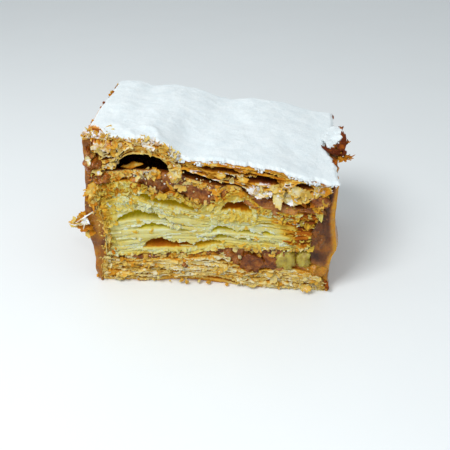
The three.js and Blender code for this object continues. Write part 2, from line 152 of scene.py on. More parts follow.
bottom_top = boundary(
    [[-45, 10.4], [-35, 10.6], [-20, 11.6], [-12, 12.4], [-5, 13.4], [1, 14.6], [5, 13], [9, 10.4], [13, 7.7],
     [19, 8.6], [27, 9.3], [34, 8.7], [45, 6.6]],
    [[-45, 11], [-25, 12.4], [-5, 11.4], [15, 10], [45, 9]], 0.5, 1)
middle_underside = boundary(
    [[-45, 12.6], [-33, 12.2], [-26, 13.1], [-15, 14], [-7, 15], [-1, 17], [5, 17.9], [15, 17.6], [22, 18.2],
     [31, 18.4], [45, 20]],
    [[-45, 13.6], [-25, 14.9], [-5, 15.6], [15, 15.4], [45, 16]], 0.5, 2)
middle_top = boundary(
    [[-45, 41.6], [-40, 43.5], [-33, 44.7], [-28, 44.2], [-24, 41.2], [-19, 39.4], [-15, 40.8], [-11, 38.8],
     [-6, 36.2], [-2, 36.2], [3, 39.2], [7.5, 42.8], [11, 42], [15, 38.8], [19, 36], [26, 34.3], [45, 33]],
    [[-45, 41], [-30, 43.4], [-12, 40], [5, 38], [20, 37], [45, 33.6]], 0.7, 3)
caramel_top = boundary(
    [[-45, 48], [-36, 48.4], [-30, 49], [-20, 49], [-15, 48.4], [-9, 46.8], [-3, 45], [3, 44.2], [8, 44.4],
     [13, 41.4], [19, 38.6], [26, 36.7], [34, 36.4], [45, 38]],
    [[-45, 47], [-25, 48.8], [-8, 46.4], [10, 43.4], [28, 41], [45, 38.5]], 0.6, 4)
top_underside = boundary(
    [[-45, 48.5], [-36, 49.2], [-15, 49.6], [-10, 50], [-4, 48.3], [2, 46.2], [8, 45.2], [12, 43.6],
     [16, 41.6], [21, 40.2], [25, 38.3], [31, 38.6], [37, 40.6], [45, 42]],
    [[-45, 47.6], [-25, 50], [-8, 47.6], [10, 44.6], [28, 42.2], [45, 39.6]], 0.5, 5)
top_top = boundary(
    [[-45, 61.2], [-38, 60.9], [-30, 60.1], [-22, 59.4], [-17, 57.4], [-12, 54], [-6, 52.6], [0, 53.1],
     [7, 52.4], [15, 51.2], [22, 50], [28, 48.3], [35, 46.6], [40, 45.7], [45, 45.6]],
    [[-45, 60], [-37, 60.2], [-30.5, 58.5], [-24, 59.2], [-18, 58.8], [-9, 56.8], [-3, 54.5], [4, 53.6],
     [10, 54.3], [17, 53.7], [25, 52.3], [31, 50.8], [38, 49.2], [45, 48.5]], 0.8, 6)

# The pocket where the top sheet has puffed up off the filling.
POCKET_X, POCKET_HALF, POCKET_HEIGHT, POCKET_DEPTH, POCKET_END = -25.3, 9.6, 6.0, 17.0, 9.0


def pocket_lift(x, y):
    """An arch over X, the root of 1 - |x|^2.4, that dies away inwards from the front cut."""
    across = np.clip(np.abs(x - POCKET_X) / POCKET_HALF, 0, 1)
    fade = 1 - smooth((y - FRONT - POCKET_DEPTH) / POCKET_END)
    return POCKET_HEIGHT * np.sqrt(1 - across**2.4) * fade


# Where the faces of the two end coats stand at each height.
left_inner = curve([[0, -44.4], [5, -43.8], [10, -42.3], [15, -41], [21, -40.6], [26, -41.4], [31, -43],
                    [37, -43.9], [44, -43.8], [52, -42.8], [62, -42.8]])
left_outer = curve([[0, -45.4], [5, -46.8], [10, -46.4], [15, -46.9], [21, -48], [28, -48.1], [34, -47.9],
                    [40, -47], [48, -46.2], [56, -45.6], [62, -45.2]])
right_inner = curve([[0, 43.2], [5, 42.4], [8, 39.8], [12, 37.4], [18, 36.4], [25, 36.4], [30, 38],
                     [35, 39.8], [40, 41.4], [46, 42.6], [50, 42.8]])
right_outer = curve([[0, 44.6], [3, 44.3], [6, 43.4], [10, 43.8], [16, 44.5], [19.5, 45.8], [23, 45.3],
                     [28, 44.4], [33, 43.8], [40, 44.3], [46, 44.9], [50, 45]])


# ---- Shapes and meshes ----
class Shape:
    """Points in millimetres, faces as arrays of 3 or 4 point numbers, and named values at the points."""

    def __init__(self, points, faces, **values):
        self.points = np.asarray(points, float).reshape(-1, 3)
        self.faces = [np.asarray(f, int) for f in faces]
        self.values = {k: np.broadcast_to(v, len(self.points)).astype(float) for k, v in values.items()}

    def volume(self):
        """The signed volume: a sixth of each triangle's triple product, positive where faces point out."""
        total = 0.0
        for f in self.faces:
            p = self.points[f]
            for k in range(1, f.shape[1] - 1):
                total += np.einsum("ij,ij->", p[:, 0], np.cross(p[:, k], p[:, k + 1])) / 6
        return total

    def facing_out(self):
        """The same shape, with its faces turned round if they point in."""
        if self.volume() < 0:
            self.faces = [f[:, ::-1] for f in self.faces]
        return self


def joined(shapes):
    """One shape from several, with the values that each lacks set to 0."""
    names = sorted({name for s in shapes for name in s.values})
    starts = np.cumsum([0] + [len(s.points) for s in shapes])
    points = np.concatenate([s.points for s in shapes])
    faces = [f + start for s, start in zip(shapes, starts) for f in s.faces]
    values = {n: np.concatenate([s.values.get(n, np.zeros(len(s.points))) for s in shapes]) for n in names}
    return Shape(points, faces, **values)


def piece(name, shape, slot, *nodes):
    """A mesh object of the shape on the one body, with the look of its slot and its values as attributes."""
    faces = sorted(shape.faces, key=lambda f: f.shape[1])
    corners = np.concatenate([f.ravel() for f in faces])
    sides = np.concatenate([np.full(len(f), f.shape[1]) for f in faces])
    mesh = bpy.data.meshes.new(name)
    mesh.vertices.add(len(shape.points))
    mesh.vertices.foreach_set("co", (shape.points * MM).astype(np.float32).ravel())
    mesh.loops.add(len(corners))
    mesh.loops.foreach_set("vertex_index", corners.astype(np.int32))
    mesh.polygons.add(len(sides))
    mesh.polygons.foreach_set("loop_start", (np.cumsum(sides) - sides).astype(np.int32))
    for key, value in shape.values.items():
        mesh.attributes.new(key, "FLOAT", "POINT").data.foreach_set("value", value.astype(np.float32))
    mesh.update(calc_edges=True)
    mesh.validate()
    mesh.polygons.foreach_set("use_smooth", np.ones(len(mesh.polygons), bool))
    mesh.set_sharp_from_angle(angle=math.radians(CREASE))
    mesh.materials.append(looks[slot])
    made = bpy.data.objects.new(name, mesh)
    bpy.context.collection.objects.link(made)
    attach(made, "root")
    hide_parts(*nodes)


def carried_loop(under, back, over, front, **values):
    """A closed shape from a loop of points that is carried along columns. Each argument is an array of
    columns by points by 3: under runs from front to back, back upwards, over from back to front and front
    downwards. The ends are closed by strips of quads between facing points. The values are arrays of columns
    by loop points."""
    loop = np.concatenate([under, back, over, front], axis=1)
    columns, around = loop.shape[:2]
    a, b, f = under.shape[1], back.shape[1], front.shape[1]
    c, i = np.meshgrid(np.arange(columns - 1), np.arange(around), indexing="ij")
    n = (i + 1) % around
    walls = np.stack([c * around + i, c * around + n, (c + 1) * around + n, (c + 1) * around + i],
                     -1).reshape(-1, 4)
    j = np.arange(a - 1)
    cap = [np.stack([j, 2 * a + b - 1 - j, 2 * a + b - 2 - j, j + 1], 1)]
    back_edge = np.arange(a - 1, a + b + 1)
    front_edge = np.append(np.arange(2 * a + b - 1, 2 * a + b + f), 0)
    for edge in (back_edge, front_edge):
        k = np.arange(len(edge) // 2 - 1)
        cap.append(np.stack([edge[k], edge[-1 - k], edge[-2 - k], edge[k + 1]], 1))
    start = np.concatenate(cap)
    end = start[:, ::-1] + (columns - 1) * around
    flat = {name: np.broadcast_to(v, (columns, around)).ravel() for name, v in values.items()}
    return Shape(loop, [walls, start[:, ::-1], end[:, ::-1]], **flat).facing_out()


def points(x, y, z):
    """An array of points from three arrays that broadcast together."""
    return np.stack(np.broadcast_arrays(x, y, z), axis=-1)


def turned(turn):
    """Rotation matrices for angles in degrees about X, then Y, then Z, one for each row."""
    (a, b, c) = np.radians(np.asarray(turn, float)).T
    one, nil = np.ones_like(a), np.zeros_like(a)

    def matrix(*rows):
        return np.stack([np.stack(row, -1) for row in rows], -2)

    about_x = matrix((one, nil, nil), (nil, np.cos(a), -np.sin(a)), (nil, np.sin(a), np.cos(a)))
    about_y = matrix((np.cos(b), nil, np.sin(b)), (nil, one, nil), (-np.sin(b), nil, np.cos(b)))
    about_z = matrix((np.cos(c), -np.sin(c), nil), (np.sin(c), np.cos(c), nil), (nil, nil, one))
    return about_z @ about_y @ about_x


def disc_faces(rim, rings):
    """The faces of a closed disc in polar form whose lower points come before its upper ones."""
    per, edge = 1 + rings * rim, 1 + (rings - 1) * rim
    i, n = np.arange(rim), (np.arange(rim) + 1) % rim
    centre = np.stack([np.zeros(rim, int), 1 + i, 1 + n], 1)
    quads = [np.stack([edge + i, edge + n, per + edge + n, per + edge + i], 1)]
    for k in range(1, 1 + (rings - 1) * rim, rim):
        band = np.stack([k + i, k + rim + i, k + rim + n, k + n], 1)
        quads += [band[:, ::-1], band + per]
    return np.concatenate([centre[:, ::-1], centre + per]), np.concatenate(quads)


def disc_points(lower, upper):
    """The points of a closed disc from those of its two sides, as arrays of rings by points by 3 whose first
    ring is the centre."""
    return np.concatenate([np.concatenate([side[0, :1], side[1:].reshape(-1, 3)]) for side in (lower, upper)])


def ball_faces(rings, around):
    """The faces of a closed ball in polar form: a pole, rings of points and the other pole."""
    i, n = np.arange(around), (np.arange(around) + 1) % around
    bands = range(1, 1 + (rings - 1) * around, around)
    quads = [np.stack([k + i, k + around + i, k + around + n, k + n], 1) for k in bands]
    last = 1 + rings * around
    cap = np.stack([np.zeros(around, int), 1 + i, 1 + n], 1)
    end = np.stack([np.full(around, last), last - around + n, last - around + i], 1)
    return np.concatenate([cap, end]), np.concatenate(quads)


def copies(local, turn, at, faces, values):
    """One shape from many small ones with the same faces: each row of local is turned and put in its place,
    and has its own value of each name."""
    count, per = local.shape[:2]
    placed = np.einsum("nij,nkj->nki", turned(turn), local) + at[:, None]
    starts = (np.arange(count) * per)[:, None, None]
    spread = {name: np.repeat(np.broadcast_to(value, count), per) for name, value in values.items()}
    return Shape(placed, [(f + starts).reshape(-1, f.shape[1]) for f in faces], **spread).facing_out()


def placed(local, turn, at, faces, values):
    """One shape, turned and put in its place."""
    return Shape(local @ turned([turn])[0].T + np.array(at), faces, **values).facing_out()


def flakes(at, size, turn, seed, rim=9, rings=2, bend=0.25, torn=0.35, thick=0.16, **values):
    """Thin torn flakes, one for each row of at. Each is a disc in polar form: its edge wanders in and out by
    the share torn, it is dished by bend times its width times the square of the distance out, and it has
    thickness. It is then turned and put in its place."""
    at, size, turn = (np.asarray(v, float).reshape(-1, n) for v, n in ((at, 3), (size, 2), (turn, 3)))
    count = len(at)
    draw = default_rng(seed)
    around = np.arange(rim) * 2 * np.pi / rim
    angle = around + draw.uniform(-0.3, 0.3, (count, rim)) * 2 * np.pi / rim
    reach = 1 + torn * draw.uniform(-1, 1, (count, rim))
    r = reach[:, None] * (np.arange(1, rings + 1) / rings)[None, :, None]
    x = r * np.cos(angle)[:, None] * size[:, :1, None] / 2
    y = r * np.sin(angle)[:, None] * size[:, 1:, None] / 2
    wide = size.max(1)[:, None, None]
    lean = draw.uniform(0, np.pi, (count, 1, 1))
    fold = (x * np.cos(lean) + y * np.sin(lean)) ** 2 / wide
    z = bend * 4 * fold + 0.09 * wide * draw.uniform(-1, 1, x.shape)
    disc = points(x, y, z).reshape(count, rings * rim, 3)
    disc = np.concatenate([np.zeros((count, 1, 3)), disc], axis=1)
    lift = np.array([0, 0, thick / 2])
    both = np.concatenate([disc - lift, disc + lift], axis=1)
    return copies(both, turn, at, disc_faces(rim, rings), values)


def torn_leaf(at, size, turn, outline, seed, baked, dust, arch, ripple=0.35, thick=0.3, torn=0.3):
    """One large torn leaf: a disc in polar form. Its reach runs through the outline's [angle, reach] pairs
    and is torn in and out. It is folded along a line through its middle, arched along its own X and Y,
    rippled, thinner and browner towards its edge, and dusty in patches. Where baked or dust is None it has no
    such value."""
    rim, rings = 84, 12
    angle = np.arange(rim) * 360 / rim
    closed = [[outline[-1][0] - 360, outline[-1][1]], *outline, [outline[0][0] + 360, outline[0][1]]]
    c, s = np.cos(np.radians(angle)), np.sin(np.radians(angle))
    nearly = np.interp(angle, *np.array(closed).T)
    reach = nearly * (1 + torn * (layered(3 * c + 7, 3 * s, seed) + 0.6 * cell(angle, 1, seed) - 0.2))
    out = (np.arange(rings + 1) / rings)[:, None]
    x, y = size[0] / 2 * out * reach * c, size[1] / 2 * out * reach * s
    arched = arch[0] * (2 * x / size[0]) ** 2 + arch[1] * (2 * y / size[1]) ** 2
    fold = 0.3 * min(1, size[1] / size[0]) * np.abs(x * math.cos(seed) + y * math.sin(seed) - 0.1 * size[0])
    z = arched + fold + ripple * layered(x / 2.2 + seed, y / 2.2, seed + 1)
    half = thick / 2 * (1 - 0.6 * out**4)
    local = disc_points(points(x, y, z - half), points(x, y, z + half))
    share = np.tile(np.concatenate([[0], np.repeat(out[1:, 0], rim)]), 2)
    patches = layered(local[:, 0] / 1.5 + seed, local[:, 1] / 1.5, seed + 3)
    values = {}
    for name, value, edge, mottle in (("baked", baked, 0.3, 0.26), ("dust", dust, -0.2, 0.4)):
        if value is not None:
            values[name] = value + edge * share**3 + mottle * patches
    return placed(local, turn, at, disc_faces(rim, rings), values)


def smear(x, z, wide, high, thick, seed, lean=0, wave=0.2, lumpy=0.45, **values):
    """A patch of caramel on a cut: a disc with a wavy outline, a lobed dome and its back in the slice."""
    rim, rings = 72, 16
    angle = np.arange(rim) * 2 * np.pi / rim
    c, s = np.cos(angle), np.sin(angle)
    reach = 1 + wave * layered(1.6 * c + 5, 1.6 * s, seed)
    out = (np.arange(rings + 1) / rings)[:, None]
    a, b = wide / 2 * out * reach * c, high / 2 * out * reach * s
    tilt = math.radians(lean)
    px, pz = x + a * math.cos(tilt) - b * math.sin(tilt), z + a * math.sin(tilt) + b * math.cos(tilt)
    lobes = 1 + lumpy * (noise(px / 1.9, pz / 2.6, seed + 1) + 0.45 * layered(px / 0.9, pz / 0.9, seed + 2))
    dome = thick * (1 - out**3) ** 0.6 * lobes
    local = disc_points(points(px, FRONT + 2.4 + 0 * px, pz), points(px, FRONT + 0.7 - dome, pz))
    return Shape(local, disc_faces(rim, rings), **values).facing_out()


def crumbs(at, size, seed, **values):
    """Rounded crumbs, one for each row of at: spheres of 6 by 8 whose radius wanders by a third, stretched to
    their sizes and turned at random."""
    at, size = np.asarray(at, float).reshape(-1, 3), np.asarray(size, float).reshape(-1, 3)
    count, bands, around = len(at), 5, 8
    draw = default_rng(seed)
    polar = (np.arange(1, bands) * np.pi / bands)[:, None]
    angle = np.arange(around) * 2 * np.pi / around
    rings = points(np.sin(polar) * np.cos(angle), np.sin(polar) * np.sin(angle), np.cos(polar))
    ball = np.concatenate([[[0, 0, 1]], rings.reshape(-1, 3), [[0, 0, -1]]])
    rough = 1 + draw.uniform(-0.33, 0.33, (count, len(ball), 1))
    turn = draw.uniform(-180, 180, (count, 3))
    return copies(ball * rough * size[:, None] / 2, turn, at, ball_faces(bands - 1, around), values)


# ---- Looks ----
class Wire:
    """An output of one of a look's nodes. Sums, differences, products and powers of wires add Math nodes."""

    def __init__(self, look, socket):
        self.look, self.socket = look, socket

    def maths(self, operation, *values):
        """A Math node's output."""
        return self.look.node("Math", {"operation": operation}, dict(enumerate(values)))

    def __add__(self, other):
        return self.maths("ADD", self, other)

    def __sub__(self, other):
        return self.maths("SUBTRACT", self, other)

    def __rsub__(self, other):
        return self.maths("SUBTRACT", other, self)

    def __mul__(self, other):
        return self.maths("MULTIPLY", self, other)

    __radd__, __rmul__ = __add__, __mul__

    def rise(self, low, high):
        """0 below low, 1 above high, and smooth between them."""
        settings = {"interpolation_type": "SMOOTHSTEP"}
        return self.look.node("MapRange", settings, {"Value": self, "From Min": low, "From Max": high})


class Look:
    """A material with one Principled surface. What is the same all over is set on its own sockets."""

    def __init__(self, name, **fixed):
        self.material = bpy.data.materials.new(name)
        self.material.use_nodes = True
        self.tree = self.material.node_tree
        self.surface = self.tree.nodes["Principled BSDF"]
        for socket, value in fixed.items():
            self.surface.inputs[socket.replace("_", " ").title().replace("Ior", "IOR")].default_value = value
        self.place = self.node("TexCoord", output="Object")

    def node(self, kind, settings=None, inputs=None, output=0):
        """A node of that type, with its settings first and then the values or wires of its sockets."""
        made = self.tree.nodes.new("ShaderNode" + kind)
        for name, value in (settings or {}).items():
            if name == "stops":
                ramp = made.color_ramp
                while len(ramp.elements) < len(value):
                    ramp.elements.new(1)
                for element, (where, colour) in zip(ramp.elements, value):
                    element.position, element.color = where, (*colour, 1)
            else:
                setattr(made, name, value)
        for socket, value in (inputs or {}).items():
            self.feed(made.inputs[socket], value)
        return Wire(self, made.outputs[output])

    def feed(self, socket, value):
        """Links a wire to a socket, or sets the socket's own value."""
        if isinstance(value, Wire):
            self.tree.links.new(value.socket, socket)
        elif socket.type == "RGBA" and len(value) == 3:
            socket.default_value = (*value, 1)
        else:
            socket.default_value = value

    def value(self, name):
        """A named value at the mesh's points."""
        return self.node("Attribute", {"attribute_name": name}, output="Fac")

    def grain(self, size, stretch=(1, 1, 1), detail=2.0, rough=0.5):
        """Noise from 0 to 1 with features of that many millimetres, squeezed along each axis by stretch."""
        scaled = self.node("VectorMath", {"operation": "MULTIPLY"}, {0: self.place, 1: stretch})
        settings = {"Vector": scaled, "Scale": 1 / (size * MM), "Detail": detail, "Roughness": rough}
        return self.node("TexNoise", None, settings, "Fac")

    def mix(self, share, first, second):
        """A colour that share of the way from the first to the second."""
        return self.node("Mix", {"data_type": "RGBA"}, {0: share, 6: first, 7: second}, 2)

    def ramp(self, share, *stops):
        """A colour read off a row of [where, colour] stops."""
        return self.node("ValToRGB", {"stops": stops}, {0: share})

    def relief(self, height, depth):
        """Feeds the surface's normal with a bump of that many millimetres."""
        bumped = self.node("Bump", None, {"Distance": depth * MM, "Height": height})
        self.feed(self.surface.inputs["Normal"], bumped)

    def finish(self, colour, roughness=None):
        """Feeds the surface's colour and roughness, and gives the material."""
        self.feed(self.surface.inputs["Base Color"], colour)
        if roughness is not None:
            self.feed(self.surface.inputs["Roughness"], roughness)
        return self.material


# The first colour whitens sugar dust on the pastry, and on the upper caramel specks that are partly sugar and
# partly painted glints and highlights; the second is a painted shade for deep, closed-in places.
DUST_AND_GLINT, SHADOW = (0.84, 0.85, 0.84), (0.02, 0.006, 0.002)


def pastry_look(name, *, cut, inside, glow, mottle, rough):
    """Puff pastry. The torn edges go from the first colour of a row to the last as the value baked goes from
    -0.2 to 1.2. Inside a hollow they give way to the other row's colours, by the value deep, from olive to
    amber: a painted shade, darker and more saturated than the edges like light bounced between the leaves.
    Dust whitens both, and shade takes them to the near black of a deep, closed-in place, a painted shade."""
    look = Look(name, subsurface_weight=glow, subsurface_radius=(1.0, 0.75, 0.3), subsurface_scale=1.7 * MM,
                specular_ior_level=0.08)
    blotches = look.grain(1.9, detail=3.0)
    fine = look.grain(0.4, stretch=(1, 1, 1.4), detail=3.0)
    baked = look.value("baked") + (blotches - 0.5) * mottle + (fine - 0.5) * (0.3 * mottle)
    edge = look.ramp(baked * 0.714 + 0.143, *cut)
    hollow = look.ramp(look.value("amber") + (blotches - 0.5) * 0.2, *inside)
    colour = look.mix((look.value("deep") + (fine - 0.5) * 0.15).rise(0.0, 0.65), edge, hollow)
    dusty = (look.value("dust") + (look.grain(1.5, detail=4.0, rough=0.6) - 0.5) * 0.8).rise(0.42, 0.8)
    colour = look.mix(dusty, colour, DUST_AND_GLINT)
    colour = look.mix(look.value("shade"), colour, SHADOW)
    look.relief(fine * 0.6 + look.grain(0.8, detail=2.0) * 0.4, rough)
    return look.finish(colour, 0.45 + look.grain(1.1) * 0.35)


def caramel_look(name, *, stops, gloss, drawn, marked):
    """Caramel: the first colours of the row where it is thick, and the last, orange ones where it is thin.
    Its folds are drawn out along the axes where drawn is small, and stand out as much as it is marked. What
    lies on it has the colours of crumbs."""
    look = Look(name, subsurface_weight=0.5, subsurface_radius=(1.0, 0.4, 0.12), subsurface_scale=1.6 * MM,
                coat_roughness=0.14, specular_ior_level=0.1)
    folds = look.grain(3.0, stretch=drawn, detail=4.0, rough=0.6)
    clots = look.grain(0.9, detail=3.0)
    tone = 0.5 + (folds - 0.5) * marked + (clots - 0.5) * (0.3 * marked) + look.value("thin") * 0.5
    crumb, baked = look.value("crumb"), look.value("baked") + (clots - 0.5) * 0.5
    colour = look.mix(crumb, look.ramp(tone, *stops), look.ramp(baked * 0.714 + 0.143, *CRUMBS))
    # specks of dust: on the upper caramel partly sugar and partly painted glints and highlights
    dusty = (look.value("dust") + (look.grain(0.8, detail=3.0) - 0.5) * 0.9).rise(0.45, 0.8)
    colour = look.mix(dusty, colour, DUST_AND_GLINT)
    colour = look.mix(look.value("shade"), colour, SHADOW)
    look.relief(look.grain(1.3, detail=2.0), 0.4 * marked)
    dull = crumb * 0.4 + dusty * 0.3
    look.feed(look.surface.inputs["Coat Weight"], (1 - crumb) * (1 - dusty) * gloss)
    return look.finish(colour, 0.3 + dull)


def sugar_look():
    """Icing sugar: a dull white powder with faint cool patches in soft drifts, and a fine grain."""
    look = Look("icing sugar", subsurface_weight=0.3, subsurface_radius=(1.0, 1.0, 1.0),
                subsurface_scale=0.8 * MM, specular_ior_level=0.15, sheen_weight=0.15)
    powder = look.grain(0.5, detail=4.0, rough=0.75)
    drifts = look.grain(5.0, detail=5.0, rough=0.6)
    colour = look.ramp(drifts * 0.5 + powder * 0.5, (0.36, (0.69, 0.775, 0.805)), (0.6, (0.83, 0.895, 0.91)))
    bare = (look.value("bare") + (look.grain(0.7, detail=4.0, rough=0.7) - 0.5) * 0.9).rise(0.5, 0.8)
    colour = look.mix(bare, colour, look.mix(look.grain(1.6), (0.7, 0.36, 0.05), (0.6, 0.2, 0.02)))
    look.relief(powder, 0.3)
    return look.finish(colour, 0.9)


def glazed_look():
    """The pale pieces in the lower caramel: yellow olive, moist and faintly mottled."""
    look = Look("glazed piece", subsurface_weight=0.6, subsurface_radius=(1.0, 0.8, 0.3),
                subsurface_scale=2 * MM, coat_weight=0.35, coat_roughness=0.2)
    mottle = look.grain(3.2, stretch=(1.3, 1.3, 0.7), detail=2.0)
    colour = look.ramp(mottle, (0.3, (0.24, 0.15, 0.008)), (0.5, (0.37, 0.28, 0.018)),
                       (0.72, (0.52, 0.44, 0.07)))
    look.relief(look.grain(1.0, detail=2.0), 0.12)
    return look.finish(colour, 0.3 + look.grain(1.5) * 0.3)


WHITE, CREAM, BUTTER, STRAW = (0.6, 0.64, 0.51), (0.57, 0.54, 0.24), (0.59, 0.45, 0.08), (0.58, 0.32, 0.028)
GOLD, TOAST, BURNT = (0.48, 0.17, 0.008), (0.29, 0.068, 0.005), (0.1, 0.018, 0.004)
PALE = [(0.0, WHITE), (0.17, CREAM), (0.32, BUTTER), (0.48, STRAW), (0.63, GOLD), (0.82, TOAST), (1.0, BURNT)]
CRUMBS = [(0.0, (0.68, 0.62, 0.42)), (0.17, (0.67, 0.54, 0.22)), (0.32, (0.65, 0.43, 0.09)),
          (0.48, (0.6, 0.28, 0.022)), (0.63, GOLD), (0.82, TOAST), (1.0, BURNT)]
# The looks, by the names of their slots.
looks = {
    "pale_pastry": pastry_look(
        "pale pastry", cut=PALE, glow=0.6, mottle=0.2, rough=0.04,
        inside=[(0.0, (0.58, 0.48, 0.004)), (0.3, (0.6, 0.38, 0.003)), (0.65, (0.4, 0.14, 0.001)),
                (1.0, (0.29, 0.075, 0.001))]),
    "crisp_pastry": pastry_look(
        "crisp pastry", cut=CRUMBS, glow=0.3, mottle=0.4, rough=0.08,
        # the hollow colours of crisp pastry run to near black: a painted shade in the gaps between its leaves
        inside=[(0.0, (0.3, 0.09, 0.01)), (0.5, (0.16, 0.035, 0.008)), (1.0, (0.06, 0.012, 0.005))]),
    "caramel": caramel_look(
        "caramel", gloss=0.45, drawn=(0.8, 0.8, 1.2), marked=1.3,
        # the stop at 0.74 gives pale pinkish streaks where the folds rise: milky streaks of the caramel, and
        # partly a painted sheen
        stops=[(0.2, (0.08, 0.016, 0.002)), (0.42, (0.18, 0.045, 0.003)), (0.56, (0.29, 0.092, 0.008)),
               (0.74, (0.46, 0.2, 0.055)), (1.0, (0.6, 0.25, 0.008))]),
    "caramel_coat": caramel_look(
        "caramel coat", gloss=0.4, drawn=(0.6, 0.7, 0.5), marked=0.55,
        stops=[(0.2, (0.03, 0.007, 0.001)), (0.42, (0.13, 0.038, 0.005)), (0.56, (0.26, 0.09, 0.009)),
               (0.74, (0.44, 0.19, 0.012)), (1.0, (0.6, 0.33, 0.02))]),
    "icing_sugar": sugar_look(),
    "glazed_piece": glazed_look()}

# ---- Cut faces of the sheets ----
ACROSS = np.linspace(-48, 48, 961)  # where the heights of the leaves are worked out
COLUMNS = 430  # of points on a cut face
LEAF_STEP, GAP_STEP = 0.25, 0.4  # from one row of points to the next, on a leaf and in a gap
LEAST = 0.04  # the least height of a leaf or a gap
CLEAR = 0.2  # between a sheet's ends and the coats
LEFT_END, RIGHT_END = -42, 38  # where a row's height is read to find the coats
LEAF_OUT, PLATE_OUT = 1.6, 2.0  # the furthest that a leaf and a plate stand out of the cut
INWARDS = np.array([0.8, 2.0, 4.0, 7.0, 11.0, 16.0, 22.0])  # rows of points on a sheet's other sides


class Seam:
    """A line between two leaves, given by its heights along the front cut, that opens into hollows. A hollow
    is its middle, its half width, its height and its share of amber."""

    def __init__(self, line, *hollows):
        self.line, self.hollows = line if callable(line) else curve(line), hollows

    def height(self, x):
        """The hollows' heights along X: each one's own times (1 - |x|^2.2)^0.7."""
        across = [np.clip(1 - np.abs((x - h[0]) / h[1]) ** 2.2, 0, 1) ** 0.7 for h in self.hollows]
        return sum((h[2] * share for h, share in zip(self.hollows, across)), 0 * x)

    def amber(self, x):
        """The hollows' shares of amber along X, each faded out beyond its own."""
        return sum((h[3] * bump(x, h[0], h[1]) for h in self.hollows), 0 * x)


class Face:
    """A cut face: columns by rows of points, given by x, height z and distance d inwards from the cut, with
    values for their colouring."""

    def __init__(self, side, x, z, d, **values):
        self.side, self.x, self.z, self.d, self.values = side, x, z, d, values

    def points(self):
        """The face's points."""
        return points(self.x, FRONT + self.d if self.side == "front" else BACK - self.d, self.z)


def evened(v):
    """The means of a line of values, each over 25 of them."""
    return np.convolve(np.pad(v, 12, mode="edge"), np.ones(25) / 25, mode="valid")


def levels_of(side, lower, upper, seams, counts, leaf, crack, droop, seed):
    """The heights along a cut at which its leaves begin and end by turns, from the lowest up, and each gap's
    amber. Between two seams the leaves have random shares of the height. A seam's hollows go on top of its
    line. On the back cut the seams are those of the front in mirror image, at the same shares of the
    height."""
    x = ACROSS
    cut = FRONT if side == "front" else BACK
    low, high = lower(x, cut), upper(x, cut)
    way = 1 if side == "front" else -1
    start, end = lower(way * x, FRONT), upper(way * x, FRONT)
    shift = 0 if side == "front" else 60
    levels, ambers = [low], []
    for number, count in enumerate(counts):
        seam = seams[number] if number < len(seams) else None
        line = between(low, high, (seam.line(way * x) - start) / (end - start)) if seam else high
        heights = []
        for i in range(count):
            if i:
                parting = np.maximum(0.2 + noise(x / 7, 5.1 * number + i, seed + shift), 0)
                heights.append(crack * (0.15 + parting**1.4))
                ambers.append(0 * x)
            wide = 1 + 0.8 * noise(x / 9 + 40, 3.7 * number + 1.3 * i, seed + 1 + shift)
            heights.append(leaf * np.maximum(wide, 0.2))
        shares = np.cumsum(heights, axis=0) / np.sum(heights, axis=0)
        span = np.maximum(line - levels[-1], 0.3 * count)
        levels += [levels[-1] + span * share for share in shares]
        if seam:
            tall = seam.height(way * x) * (1 + 0.16 * noise(x / 1.7, number, seed + 24))
            teeth = 0.3 * crests(x / 0.75, 3.1 * number, seed + 25)
            teeth = teeth + 0.2 * noise(x / 0.33, 0.7 * number, seed + 26)
            levels.append(levels[-1] + 0.3 * crack + np.maximum(tall - (0.3 + teeth) * smooth(tall), 0))
            ambers.append(seam.amber(way * x))
    for k in range(len(levels) // 2):
        wave = noise(x / 5.5, 1.1 * k + shift, seed + 20) + 0.5 * crests(x / 1.9, 6.1 * k + shift, seed + 21)
        sag = droop * (wave + 0.3 * noise(x / 0.7, 7.9 * k + shift, seed + 22))
        fray = 0.4 * droop * noise(x / 0.5, 3.3 * k + shift, seed + 23)
        levels[2 * k] = levels[2 * k] + sag * (k > 0) + fray
        levels[2 * k + 1] = levels[2 * k + 1] + sag * (k + 1 < len(levels) // 2)
    room = np.arange(len(levels))[:, None]
    levels = np.maximum.accumulate(np.maximum(levels, low + LEAST * room))
    return np.minimum(levels, high - LEAST * (len(levels) - 1 - room)), ambers


